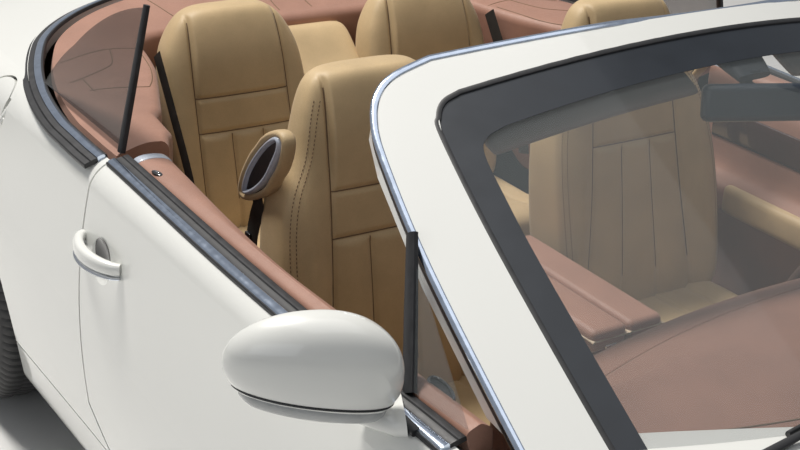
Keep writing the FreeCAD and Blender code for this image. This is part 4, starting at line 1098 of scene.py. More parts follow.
def rearTrimPiece():
    tracks = []
    for spot in rimLine:
        offset = spot - at(0, rearPad["middle"], 0)
        angle = math.atan2(offset.y, offset.x)
        if angle < -1.6:
            angle += math.tau
        if spot.y < at(0, rearPad["front"], 0).y:
            continue
        tracks.append((angle, math.hypot(offset.x, offset.y), spot.z))
    tracks.sort()
    inner = [edgeAt(angle) for angle, _, _ in tracks]
    for _ in range(3):
        inner = inner[:1] + [(a + b + c) / 3 for a, b, c in zip(inner, inner[1:], inner[2:])] + inner[-1:]
    rings = []
    radius = rearPad["round"]
    for (angle, outerReach, rimHigh), reach in zip(tracks, inner):
        way = Vector((math.cos(angle), math.sin(angle), 0))
        behind = rise(math.sin(angle), 0.45, 0.80)
        low = rearPad["low"] + (rearPad["deckLow"] - rearPad["low"]) * behind
        top = rearPad["top"]
        wide = outerReach - rearPad["rimGap"] - reach
        section = [(0.004, low), (0.0, (low + top - radius) / 2), (0.0, top - radius)]
        section += [(radius * (1 - math.cos(t)), top - radius + radius * math.sin(t))
                    for t in (math.radians(18 * k) for k in range(1, 6))]
        for k in range(1, 13):
            share = k / 12
            height = top + (rimHigh - 0.003 - top) * rise(share, 0.0, 1.0) + 0.006 * math.sin(math.pi * share)
            section.append((radius + (wide - radius) * share, height))
        section += [(wide + 0.004, rimHigh - 0.02), (wide - 0.01, rimHigh - 0.035), (wide * 0.5, top - 0.06),
                    (radius, top - 0.07), (0.022, low)]
        centre = at(0, rearPad["middle"], 0)
        rings.append([centre + way * (reach + q) + Vector((0, 0, z)) for q, z in section])
    pad = skinnedPiece("rear_trim_pad", "chassis", "brown", rings, 50, ("cockpit_rear_trim",))
    tree = surfaceOf([pad])
    seams = bmesh.new()
    for side in (-1, 1):
        for line in rearPad["seams"]:
            path = []
            for spot in smoothPath([at(side * x, station, 0) for x, station in line], 8):
                hit = dropOn(tree, spot)
                if hit is not None and hit.z > rearPad["seamLow"]:
                    path.append(hit)
            if len(path) > 3:
                sweep(seams, path, overhead, roundOutline(0.0014, 0.0012, 6))
    makePiece("rear_trim_seams", seams, "chassis", "thread", 80)


rearTrimPiece()
print("rear trim made")

centrePad = {
    "half": 0.106, "middle": (3.63, 0.70),
    "profile": ((3.478, 0.50), (3.480, 0.740), (3.515, 0.806), (3.590, 0.862), (3.655, 0.915), (3.690, 0.932),
                (3.722, 0.926), (3.734, 0.90), (3.734, 0.50)),
}


def centrePads():
    loop = smoothLoop(centrePad["profile"], 5)
    rings = []
    for end, full in endings(40, 0.8, 7):
        section = drawnIn(loop, centrePad["middle"], 0.75 + 0.25 * full, 0.80 + 0.20 * full)
        rings.append([at(end * centrePad["half"], station, z) for station, z in section])
    skinnedPiece("rear_centre_pad", "chassis", "tan", rings, 180)


centrePads()
print("centre pad made")

# Centre console with a split armrest

console = {
    "half": 0.093, "middle": (2.36, 0.46),
    "profile": ((1.90, 0.36), (1.885, 0.56), (1.965, 0.632), (2.06, 0.628), (2.20, 0.575), (2.33, 0.568),
                (2.392, 0.585), (2.42, 0.606), (2.60, 0.612), (2.80, 0.612), (2.828, 0.590), (2.829, 0.36)),
    "lidHalf": 0.047, "gap": 0.003, "front": 2.352, "back": 2.805, "top": 0.664, "deep": 0.052,
    "lines": (0.591, 0.576), "lineX": 0.085, "lineStations": (2.02, 2.15, 2.25, 2.38),
    "panel": (0, 2.26, 0.583), "panelSize": (0.128, 0.20, 0.030),
    "lever": ((0, 2.10, 0.61), (0.004, 2.105, 0.655), (0.0, 2.095, 0.69)),
}


def armrestLid(name, side):
    half, front, back = console["lidHalf"], console["front"], console["back"]
    middle = at(side * (half + console["gap"] / 2), (front + back) / 2, console["top"] - console["deep"] / 2)
    sizes = (half * 2 - 0.001, back - front, console["deep"])
    boxPiece(f"armrest_lid_{name}", "chassis", "brown", middle, sizes, 0.015, None, 6)
    wide, deep = half - 0.003, (back - front - 0.008) / 2
    corners = [middle + Vector((wide * x, deep * y, 0.004)) for x, y in ((-1, -1), (1, -1), (1, 1), (-1, 1))]
    path = [a.lerp(b, t) for a, b in zip(corners, corners[1:] + corners[:1]) for t in (0.03, 0.5, 0.97)]
    sweptPiece(f"armrest_piping_{name}", "chassis", "piping", smoothPath(path, 4, True), overhead,
               roundOutline(0.0045, 0.0028, 8), 80, closed=True)
    boxPiece(f"armrest_catch_{name}", "chassis", "chrome", at(side * 0.045, front + 0.002, 0.624),
             (0.030, 0.010, 0.009), 0.003)


def centreConsole():
    loop = smoothLoop(console["profile"], 5)
    rings = []
    for end, full in endings(30, 0.8, 8):
        section = drawnIn(loop, console["middle"], 0.96 + 0.04 * full, 0.86 + 0.14 * full)
        rings.append([at(end * console["half"], station, z) for station, z in section])
    skinnedPiece("console_body", "chassis", "brown", rings, 60, ("centre_console",))
    for name, side in sides:
        armrestLid(name, side)
    mesh = bmesh.new()
    for side in (-1, 1):
        for height in console["lines"]:
            sweep(mesh, [at(side * console["lineX"], station, height) for station in console["lineStations"]],
                  overhead, roundOutline(0.0028, 0.0028, 8))
    makePiece("console_lines", mesh, "chassis", "chrome", 80)
    boxPiece("console_panel", "chassis", "veneer", at(*console["panel"]), console["panelSize"], 0.010)
    path = smoothPath([at(*spot) for spot in console["lever"]], 6)
    sweptPiece("gear_lever", "chassis", "gloss", path, rearward, roundOutline(0.016, 0.02, 14, 2.6), 60,
               sizes=[0.45] * 5 + [0.7, 0.9, 1.05, 1.1, 1.0, 0.95, 0.85, 0.5])


centreConsole()
print("console made")

# Dashboard

dash = {
    "half": 0.688, "middle": (1.80, 0.78), "rear": 2.046, "rearBow": 0.25, "seam": 1.965, "seamBow": 0.30,
    "crease": 1.612, "creaseBow": 0.33, "cowl": (0.383, 0.155, 0.022),
    "slots": ((-0.36, -0.10), (0.10, 0.36)), "slotStation": 1.585,
    "vents": (-0.60, -0.075, 0.075, 0.61), "ventRadius": 0.036, "screen": (0, 2.022, 0.700),
    "dials": (0.318, 0.448), "dialPlace": (2.008, 0.845), "dialRadius": 0.050,
}


def dashLoop(x):
    rear = dash["rear"] - dash["rearBow"] * x * x
    seam = dash["seam"] - dash["seamBow"] * x * x
    crease = dash["crease"] + dash["creaseBow"] * x * x
    lift = dash["cowl"][2] * bell(x - dash["cowl"][0], dash["cowl"][1])
    return [
        (1.555, 0.912), (crease - 0.02, 0.9155), (crease + 0.012, 0.9215), (crease + 0.08, 0.9325),
        ((crease + seam) / 2 + 0.04, 0.939 + lift * 0.3), (seam - 0.05, 0.931 + lift),
        (seam - 0.006, 0.9185 + lift), (seam, 0.9135 + lift), (seam + 0.006, 0.9145 + lift),
        (seam + 0.045, 0.901 + lift * 0.8),
        (rear - 0.008, 0.884 + lift * 0.5), (rear, 0.862), (rear - 0.004, 0.815), (rear - 0.012, 0.760),
        (rear - 0.055, 0.665), (rear - 0.12, 0.565), (1.86, 0.545), (1.71, 0.565), (1.56, 0.66), (1.52, 0.80),
    ]


def dashboard():
    rings = []
    for end, full in endings(140, 0.5, 40):
        x = end * dash["half"]
        section = drawnIn(smoothLoop(dashLoop(x), 5), dash["middle"], 0.9 + 0.1 * full, 0.9 + 0.1 * full)
        rings.append([at(x, station, z) for station, z in section])
    pad = skinnedPiece("dash_pad", "chassis", "brown", rings, 60, ("dashboard",))
    tree = surfaceOf([pad])
    mesh = bmesh.new()
    for bow, place in ((dash["seamBow"], dash["seam"]), (-dash["creaseBow"], dash["crease"] + 0.006)):
        path = []
        for k in range(61):
            x = -0.66 + 1.32 * k / 60
            path.append(dropOn(tree, at(x, place - bow * x * x, 0)) + Vector((0, 0, 0.0002)))
        sweep(mesh, path, overhead, roundOutline(0.0016, 0.0013, 6))
    makePiece("dash_seams", mesh, "chassis", "thread", 80)
    mesh = bmesh.new()
    for start, end in dash["slots"]:
        path = [dropOn(tree, at(start + (end - start) * k / 12, dash["slotStation"], 0)) for k in range(13)]
        sweep(mesh, path, overhead, roundOutline(0.008, 0.002, 10, 3))
    makePiece("dash_slots", mesh, "chassis", "seal", 60)
    rims, bowls = bmesh.new(), bmesh.new()
    radius = dash["ventRadius"]
    for x in dash["vents"]:
        middle = at(x, dash["rear"] - dash["rearBow"] * x * x - 0.004, 0.800)
        sweep(rims, hoop(middle, (radius, 0, 0), (0, 0, radius), 40), rearward,
              roundOutline(0.005, 0.006, 10), closed=True)
        made = bmesh.ops.create_uvsphere(bowls, u_segments=32, v_segments=16, radius=radius - 0.002)["verts"]
        bmesh.ops.scale(bowls, vec=(1, 0.22, 1), verts=made)
        bmesh.ops.translate(bowls, vec=middle, verts=made)
    makePiece("dash_vent_rims", rims, "chassis", "chrome", 60)
    makePiece("dash_vents", bowls, "chassis", "gloss", 60)
    boxPiece("dash_screen", "chassis", "gloss", at(*dash["screen"]), (0.22, 0.05, 0.12), 0.016)
    dials = bmesh.new()
    radius = dash["dialRadius"]
    for x in dash["dials"]:
        sweep(dials, hoop(at(x, *dash["dialPlace"]), (radius, 0, 0), (0, 0, radius), 40), rearward,
              roundOutline(0.004, 0.007, 8), closed=True)
    makePiece("dial_rims", dials, "chassis", "chrome", 60)


dashboard()
print("dashboard made")

# Sun visors and inner mirror

fittings = {
    "visor": (0.322, 0.206),  # middle and half width
    "visorRows": (-0.146, -0.058), "rod": ((0.530, -0.064), (0.50, -0.060), (0.30, -0.058)),
    "mirror": (0.002, 2.092, 1.222), "mirrorSize": (0.250, 0.030, 0.066), "mirrorTurn": -22, "mirrorTilt": -12,
}


def screenFittings():
    middle, half = fittings["visor"]
    for name, side in sides:
        rings = []
        for end, full in endings(30, 0.8, 9):
            low, high = fittings["visorRows"]
            low, high = low + 0.014 * (1 - full), high - 0.018 * (1 - full)
            thick = 0.0075 * (0.4 + 0.6 * full)
            rings.append([onScreen(side * (middle + end * half), (low + high) / 2 + (high - low) / 2 * b,
                                   -0.040 - thick * a) for a, b in roundOutline(1, 1, 24, 3)])
        replaced = ("screen_fittings",) if side < 0 else ()
        skinnedPiece(f"sun_visor_{name}", "chassis", "dusk", rings, 60, replaced)
        path = [onScreen(side * x, row, -0.052) for x, row in fittings["rod"]]
        sweptPiece(f"visor_rod_{name}", "chassis", "black", path, screenOut, roundOutline(0.006, 0.006, 10), 60)
    turn = (turned(fittings["mirrorTurn"], "Z")
            @ turned(fittings["mirrorTilt"], "X"))
    boxPiece("inner_mirror", "chassis", "navy", at(*fittings["mirror"]), fittings["mirrorSize"], 0.014, turn, 5)
    path = [onScreen(0, -0.128, -0.020), onScreen(0, -0.144, -0.045), at(0.001, 2.098, 1.240)]
    sweptPiece("inner_mirror_stem", "chassis", "black", smoothPath(path, 5), rearward,
               roundOutline(0.015, 0.012, 12), 60,
               sizes=[1.7, 1.5, 1.2, 1.0, 0.85, 0.8, 0.75, 0.75, 0.75, 0.75, 0.75])
    rings = []
    for step in range(15):
        share = step / 14
        half, deep = 0.062 - 0.022 * share, 0.014 * (0.6 + 0.4 * math.sin(math.pi * share))
        rings.append([onScreen(half * a, -0.050 - 0.098 * share, -0.022 - deep * b)
                      for a, b in roundOutline(1, 1, 20, 3)])
    skinnedPiece("inner_mirror_foot", "chassis", "navy", rings)


screenFittings()
print("screen fittings made")

# Belts

belts = {
    "guideX": 0.615,
    "outer": ((2.874, 0.873), (2.861, 0.911), (2.844, 0.939), (2.819, 0.973), (2.794, 0.999), (2.770, 1.024),
              (2.742, 1.043), (2.714, 1.055), (2.695, 1.057), (2.683, 1.049), (2.682, 1.034), (2.689, 1.009),
              (2.704, 0.979), (2.727, 0.950), (2.750, 0.920), (2.792, 0.889), (2.834, 0.869), (2.860, 0.863)),
    "inner": ((2.843, 0.889), (2.827, 0.930), (2.794, 0.974), (2.753, 1.015), (2.718, 1.039), (2.702, 1.039),
              (2.705, 1.019), (2.724, 0.988), (2.751, 0.949), (2.788, 0.914), (2.826, 0.889)),
    "shift": {"right": (0.0, 0.0), "left": (0.115, 0.030)},
    "strap": ((2.800, 0.930), (2.806, 0.900), (2.796, 0.868), (2.812, 0.825), (2.822, 0.770), (2.822, 0.60)),
    "stop": (0.010, 2.830, 0.790), "rearX": 0.500,
    "rearStrap": ((3.560, 0.950), (3.542, 0.925), (3.475, 0.832), (3.377, 0.688), (3.350, 0.600)),
}


def seatBelts():
    webbing = roundOutline(0.023, 0.0012, 8, 3)
    for name, side in sides:
        back, up = belts["shift"][name]
        x = side * belts["guideX"]
        out = Vector((side, 0, 0))
        outer = [at(x, station + back, z + up) for station, z in belts["outer"]]
        inner = [at(x + side * 0.004, station + back, z + up) for station, z in belts["inner"]]
        centre = sum(outer, Vector()) / len(outer)
        outer = [centre + (spot - centre) * 0.93 for spot in outer]
        sweptPiece(f"belt_guide_{name}", "chassis", "tan", smoothPath(outer, 4, True), out,
                   roundOutline(0.0075, 0.015, 12, 2.6), 70, closed=True)
        sweptPiece(f"belt_guide_rim_{name}", "chassis", "silver", smoothPath(inner, 4, True), out,
                   roundOutline(0.0068, 0.015, 10), 70, closed=True)
        middle = sum(inner, Vector()) / len(inner)
        rings = [[middle + (spot - middle) * 0.98 + out * lift for spot in inner] for lift in (-0.004, 0.007)]
        skinnedPiece(f"belt_guide_plate_{name}", "chassis", "black", rings)
        path = smoothPath([at(x + side * 0.006, station + back, z + up) for station, z in belts["strap"]], 6)
        sweptPiece(f"belt_strap_{name}", "chassis", "webbing", path, out, webbing, 60)
        further, station, z = belts["stop"]
        boxPiece(f"belt_stop_{name}", "chassis", "gloss", at(x + side * further, station + back, z + up),
                 (0.008, 0.020, 0.018), 0.003)
        path = smoothPath([at(side * belts["rearX"], station, z) for station, z in belts["rearStrap"]], 6)
        sweptPiece(f"rear_belt_{name}", "chassis", "webbing", path, out, webbing, 60)


seatBelts()
print("belts made")

# Steering wheel

hand = {
    "centre": (0.383, 2.128, 0.800), "rake": 24, "rim": 0.186, "grip": 0.0155,
    "hub": (0.076, 0.060, 0.024), "hubSunk": 0.020, "spokes": (0, 180, 270),  # degrees
    # part, half width, lift, finish
    "layers": (("spoke", 0.017, -0.014, "wood"), ("spoke_insert", 0.008, -0.004, "chrome")),
}


def steeringWheel():
    rake = math.radians(hand["rake"])
    way = Vector((0, math.cos(rake), math.sin(rake)))
    across = Vector((1, 0, 0))
    upward = across.cross(way) * -1
    centre = at(*hand["centre"])
    rim, grip = hand["rim"], hand["grip"]
    sweptPiece("wheel_rim", "hand_wheel", "wood", hoop(centre, across * rim, upward * rim, 96), way,
               roundOutline(grip * 0.9, grip, 14), 80, ("steering_wheel",), closed=True)
    mesh = bmesh.new()
    bmesh.ops.create_uvsphere(mesh, u_segments=48, v_segments=24, radius=1)
    wide, tall, deep = hand["hub"]
    for vert in mesh.verts:
        a, b, c = (math.copysign(abs(v) ** 0.75, v) for v in vert.co)
        vert.co = centre + across * a * wide + upward * b * tall + way * (c * deep - hand["hubSunk"])
    makePiece("wheel_hub", mesh, "hand_wheel", "wood", 80)
    for index, degrees in enumerate(hand["spokes"]):
        turn = math.radians(degrees)
        out = across * math.cos(turn) + upward * math.sin(turn)
        for part, size, lift, finish in hand["layers"]:
            path = [centre + out * reach + way * height
                    for reach, height in ((0.055, lift - 0.004), (0.11, lift), (rim - 0.008, lift * 0.4))]
            sweptPiece(f"wheel_{part}_{index}", "hand_wheel", finish, smoothPath(path, 4), way,
                       roundOutline(size, 0.006, 12, 2.8), 60)


steeringWheel()
print("steering wheel made")

# Wheels

wheels = {"centres": (("front", 0.912), ("rear", 3.820)), "track": 0.811, "radius": 0.350, "half": 0.1375,
          "bead": 0.259, "grooves": (-0.066, -0.023, 0.023, 0.066), "cap": 0.034, "lip": 0.2535,
          "bolts": 5, "boltCircle": 0.056, "valve": 0.226}


def tyreProfile(t):
    # across and out, from the inner bead over the tread to the outer bead
    half, radius, bead = wheels["half"], wheels["radius"], wheels["bead"]
    spots = [(-half + 0.022, bead - 0.004), (-half + 0.006, bead + 0.012), (-half + 0.001, bead + 0.040),
             (-half + 0.008, radius - 0.030), (-half + 0.022, radius - 0.010), (-half + 0.045, radius - 0.003),
             (-0.04, radius - 0.0004), (0.04, radius - 0.0004), (half - 0.045, radius - 0.003),
             (half - 0.022, radius - 0.010), (half - 0.008, radius - 0.030), (half - 0.001, bead + 0.040),
             (half - 0.006, bead + 0.012), (half - 0.022, bead - 0.004)]
    return smoothPath([Vector((x, 0, r)) for x, r in spots], t)


def tyrePiece(name, body, node, centre):
    profile = tyreProfile(4)
    rounds = 360
    mesh = bmesh.new()
    columns = len(profile) - 1
    made = bmesh.ops.create_grid(mesh, x_segments=columns, y_segments=rounds, size=0.5)["verts"]
    for vert in made:
        spot = profile[round((vert.co.x + 0.5) * columns)]
        step = round((vert.co.y + 0.5) * rounds) % rounds
        x, reach = spot.x, spot.z
        shoulder = abs(x) / wheels["half"]
        if reach > wheels["radius"] - 0.028:
            groove = max(bell(x - line, 0.0052) for line in wheels["grooves"])
            slot = 1.0 if step % 4 == 0 and 0.30 < shoulder < 0.98 else 0.0
            reach -= 0.0070 * max(groove, 0.65 * slot)
        elif shoulder > 0.9:
            x += math.copysign(0.0009 * bell(reach - 0.290, 0.003) + 0.0009 * bell(reach - 0.315, 0.003), x)
        angle = math.tau * step / rounds
        vert.co = centre + Vector((x, math.sin(angle) * reach, math.cos(angle) * reach))
    bmesh.ops.remove_doubles(mesh, verts=made, dist=0.00002)
    makePiece(f"tyre_tread_{name}", mesh, body, "tyre", 30, (node,))


def stub(mesh, spot, side, segments, wide, narrow, long):
    # a short cone that points out of the wheel
    made = bmesh.ops.create_cone(mesh, cap_ends=True, segments=segments, radius1=wide, radius2=narrow,
                                 depth=long)["verts"]
    bmesh.ops.rotate(mesh, cent=(0, 0, 0), matrix=turned(side * 90, "Y"), verts=made)
    bmesh.ops.translate(mesh, vec=spot, verts=made)


def wheelTrim(name, body, centre, side):
    out = Vector((side, 0, 0))
    face = centre + out * (wheels["half"] - 0.044)
    cap, lip = wheels["cap"], wheels["lip"]
    mesh = bmesh.new()
    made = bmesh.ops.create_uvsphere(mesh, u_segments=36, v_segments=18, radius=1)["verts"]
    for vert in made:
        c = vert.co
        vert.co = face + Vector((side * (max(0.0, c.z) * 0.016 + min(0.0, c.z) * 0.004), c.x * cap, c.y * cap))
    makePiece(f"wheel_cap_{name}", mesh, body, "gloss", 50)
    mesh = bmesh.new()
    ring = cap + 0.002
    sweep(mesh, hoop(face + out * 0.002, (0, ring, 0), (0, 0, ring), 48), out, roundOutline(0.003, 0.004, 8),
          closed=True)
    sweep(mesh, hoop(centre + out * (wheels["half"] - 0.0185), (0, lip, 0), (0, 0, lip), 120), out,
          roundOutline(0.0045, 0.006, 10), closed=True)
    makePiece(f"wheel_lip_{name}", mesh, body, "chrome", 60)
    mesh = bmesh.new()
    for index in range(wheels["bolts"]):
        angle = math.tau * (index + 0.5) / wheels["bolts"]
        reach = Vector((0, math.sin(angle), math.cos(angle))) * wheels["boltCircle"]
        stub(mesh, face - out * 0.010 + reach, side, 6, 0.0115, 0.0098, 0.018)
    valve = centre + Vector((side * (wheels["half"] - 0.030), 0, wheels["valve"]))
    stub(mesh, valve, side, 12, 0.0036, 0.003, 0.030)
    makePiece(f"wheel_bolts_{name}", mesh, body, "steel", 40)


def wheelSet():
    for end, axle in wheels["centres"]:
        for name, side in sides:
            body = f"wheel_{end}_{name}"
            centre = at(side * wheels["track"], axle, wheels["radius"])
            tyrePiece(f"{end}_{name}", body, f"tyre_{end}_{name}", centre)
            wheelTrim(f"{end}_{name}", body, centre, side)


wheelSet()
print("wheels made")

# Nose: lamp rims and bowls, mesh surrounds

nose = {
    "lamps": ((0.556, 0.672, 0.092), (0.742, 0.668, 0.076)),  # x, z and radius
    "upper": (0.318, 0.392, 0.612), "lower": (0.420, 0.262, 0.338), "corner": 0.028,
    # where the skin is felt, where the frame lies from the opening's edge, and how deep
    "outside": 0.010, "inside": 0.004, "sunk": 0.0072,
}


def noseSpot(tree, x, z, lift=0.0):
    hit, normal, _, _ = tree.ray_cast(at(x, -0.6, z), rearward)
    if hit is None:
        return None, None
    if normal.y > 0:
        normal = -normal
    return hit + normal * lift, normal


def frameRound(half, low, high, corner, count):
    # a rounded oblong, point by point
    line = []
    for turn, (cx, cz) in enumerate(((half, high), (-half, high), (-half, low), (half, low))):
        sx, sz = math.copysign(1, cx), 1 if cz == high else -1
        for k in range(count):
            angle = math.radians(90 * turn + 90 * k / (count - 1))
            line.append((cx + corner * (math.cos(angle) - sx), cz + corner * (math.sin(angle) - sz)))
    return line


def noseTrim():
    skin = cadSurface("front_bumper front_wings bonnet grille")
    for part in ("upper", "lower"):
        half, low, high = nose[part]
        felt = nose["outside"]
        line = frameRound(half + felt, low - felt, high + felt, nose["corner"] + felt, 7)
        middle, tall = (low + high) / 2, (high - low) / 2
        narrower = (half - nose["inside"]) / (half + felt)
        lower = (tall - nose["inside"]) / (tall + felt)
        dense = []
        for (x0, z0), (x1, z1) in zip(line, line[1:] + line[:1]):
            long = math.hypot(x1 - x0, z1 - z0)
            steps = max(1, round(long / 0.02))
            dense += [(x0 + (x1 - x0) * k / steps, z0 + (z1 - z0) * k / steps) for k in range(steps)]
        path, ups = [], []
        for x, z in dense:
            spot, normal = noseSpot(skin, x, z, -nose["sunk"])
            if spot is not None:
                spot.x *= narrower
                spot.z = middle + (spot.z - middle) * lower
                path.append(spot)
                ups.append(normal)
        sweptPiece(f"{part}_mesh_frame", "chassis", "chrome", path, ups, roundOutline(0.011, 0.0065, 12, 2.6),
                   60, closed=True)
    lenses = cadSurface("headlamps")
    rims, bowls, cores = bmesh.new(), bmesh.new(), bmesh.new()
    for side in (-1, 1):
        for x, z, radius in nose["lamps"]:
            reach = radius - 0.005
            hits = [noseSpot(lenses, spot.x, spot.z, 0.0006)
                    for spot in hoop(at(side * x, 0, z), (reach, 0, 0), (0, 0, reach), 72)]
            path, ups = zip(*(pair for pair in hits if pair[0] is not None))
            sweep(rims, path, list(ups), roundOutline(0.0055, 0.004, 10), closed=True)
            depth = max(spot.y for spot in path + (noseSpot(lenses, side * x, z)[0],))
            made = bmesh.ops.create_uvsphere(bowls, u_segments=48, v_segments=24, radius=1)["verts"]
            for vert in made:
                c = vert.co.copy()
                vert.co = Vector((side * x + c.x * radius * 0.86, depth + 0.014 + abs(c.y) * 0.022,
                                  z + c.z * radius * 0.86))
            bmesh.ops.remove_doubles(bowls, verts=made, dist=0.00001)
            made = bmesh.ops.create_uvsphere(cores, u_segments=36, v_segments=18, radius=radius * 0.40)["verts"]
            bmesh.ops.scale(cores, vec=(1, 0.5, 1), verts=made)
            bmesh.ops.translate(cores, vec=(side * x, depth + 0.020, z), verts=made)
    makePiece("headlamp_rims", rims, "chassis", "chrome", 60)
    makePiece("headlamp_bowls", bowls, "chassis", "alloy", 60)
    makePiece("headlamp_cores", cores, "chassis", "lens", 60)


noseTrim()
print("nose trimmed")

# Tail: lamp rims, exhaust lips

tail = {
    "lamp": (0.618, 0.738, 0.112, 0.070), "pipe": (0.520, 0.262, 0.054),
    "rims": ((0.965, roundOutline(0.005, 0.004, 10)), (0.60, roundOutline(0.0035, 0.003, 8))),
}


def tailTrim():
    lenses = cadSurface("tail_lamps")
    rims = bmesh.new()
    for side in (-1, 1):
        x, z, wide, tall = tail["lamp"]
        for share, outline in tail["rims"]:
            path, ups = [], []
            for start in hoop(at(side * x, 5.6, z), (wide * share, 0, 0), (0, 0, tall * share), 72):
                spot, normal, _, _ = lenses.ray_cast(start, Vector((0, -1, 0)))
                if spot is not None:
                    normal = normal if normal.y > 0 else -normal
                    spot += normal * 0.0005
                    spot.y -= max(0.0, spot.y + 0.0042 - cadHigh.y)  # stays inside the frame's rear end
                    path.append(spot)
                    ups.append(normal)
            sweep(rims, path, ups, outline, closed=True)
    makePiece("tail_lamp_rims", rims, "chassis", "chrome", 60)
    lips = bmesh.new()
    x, z, radius = tail["pipe"]
    reach = radius - 0.002
    for side in (-1, 1):
        ring = hoop(Vector((side * x, cadHigh.y - 0.012, z)), (reach, 0, 0), (0, 0, reach), 60)
        sweep(lips, ring, rearward, roundOutline(0.004, 0.006, 10), closed=True)
    makePiece("exhaust_lips", lips, "chassis", "chrome", 60)


tailTrim()
print("tail trimmed")

# Wipers, floor mats and pedals

wipers = {"spans": ((-0.60, 0.02), (-0.02, 0.56)), "low": -0.79, "climb": 0.035}  # x of each pivot and tip
cabin = {
    "mats": ((0.39, 1.86, 0.42, 0.50), (0.33, 3.02, 0.32, 0.24)),  # x, station, width, length
    "matThick": 0.012, "pedals": ((0.30, 0.085), (0.44, 0.050)), "pedalPlace": (1.640, 0.400), "pedalTilt": -38,
    "pedalArm": ((1.630, 0.410), (1.585, 0.50), (1.57, 0.60)),
}


def wiperArms():
    mesh, blades = bmesh.new(), bmesh.new()
    for pivot, tip in wipers["spans"]:

        def along(share, further, lift):
            row = wipers["low"] + wipers["climb"] * share + further
            return onScreen(pivot + (tip - pivot) * share, row, lift)

        line = [along(k / 8, 0, 0.016) for k in range(9)]
        sweep(mesh, line, screenOut, roundOutline(0.006, 0.004, 10, 3), sizes=[1.6, 1.4] + [1.0] * 7)
        blade = [along(0.25 + 0.75 * k / 10, 0.012, 0.006) for k in range(11)]
        sweep(blades, blade, screenOut, roundOutline(0.004, 0.006, 8, 3))
    makePiece("wiper_arms", mesh, "chassis", "black", 60)
    makePiece("wiper_blades", blades, "chassis", "seal", 60)


def floorItems():
    mats = bmesh.new()
    ground = cadSurface("floor_tub")
    thick = cabin["matThick"]
    for side in (-1, 1):
        for x, station, wide, long in cabin["mats"]:
            spot, _, _, _ = ground.ray_cast(at(side * x, station, 0.55), Vector((0, 0, -1)))
            roundedBox(mats, spot + Vector((0, 0, thick / 2 + 0.0002)), (wide, long, thick), 0.004)
    makePiece("floor_mats", mats, "chassis", "dusk", 60)
    pads, arms = bmesh.new(), bmesh.new()
    tilt = turned(cabin["pedalTilt"], "X")
    for x, wide in cabin["pedals"]:
        roundedBox(pads, at(x, *cabin["pedalPlace"]), (wide, 0.016, 0.075), 0.005, tilt)
        sweep(arms, [at(x, station, z) for station, z in cabin["pedalArm"]], Vector((1, 0, 0)),
              roundOutline(0.006, 0.008, 8))
    makePiece("pedal_pads", pads, "chassis", "steel", 50)
    makePiece("pedal_arms", arms, "chassis", "black", 50)


wiperArms()
floorItems()
print("wipers, mats and pedals made")

# Engine: covers, plenum with its runners, pulleys and belt on the block

engine = {
    "cover": (0.200, 0.985, 0.818), "coverSize": (0.150, 0.720, 0.050), "ribs": 9,
    "plenum": (0.0, 1.020, 0.828), "plenumSize": (0.150, 0.560, 0.060), "fins": 5, "finGap": 0.024,
    "runners": 6, "runnerStart": 0.80, "runnerGap": 0.088,
    "runner": ((0.060, 0.822), (0.095, 0.836), (0.130, 0.824)),
    "pulleys": ((0.0, 0.420, 0.085), (0.170, 0.560, 0.052), (0.060, 0.690, 0.045), (-0.150, 0.610, 0.060)),
    "face": 0.548, "beltMiddle": (0.02, 0.55),
}


def beltBand(count):
    # the line of a belt drawn tight round the pulleys, found from how far they reach each way
    mx, mz = engine["beltMiddle"]
    turn = math.tau / count
    ways = [Vector((math.cos(turn * k), math.sin(turn * k))) for k in range(count)]
    reaches = [max((x - mx) * way.x + (z - mz) * way.y + radius for x, z, radius in engine["pulleys"])
               for way in ways]
    band = []
    for way, reach, after in zip(ways, reaches, reaches[1:] + reaches[:1]):
        slope = (after - reach) / turn
        band.append(at(mx + reach * way.x - slope * way.y, engine["face"], mz + reach * way.y + slope * way.x))
    return [spot for index, spot in enumerate(band) if (spot - band[index - 1]).length > 0.0015]


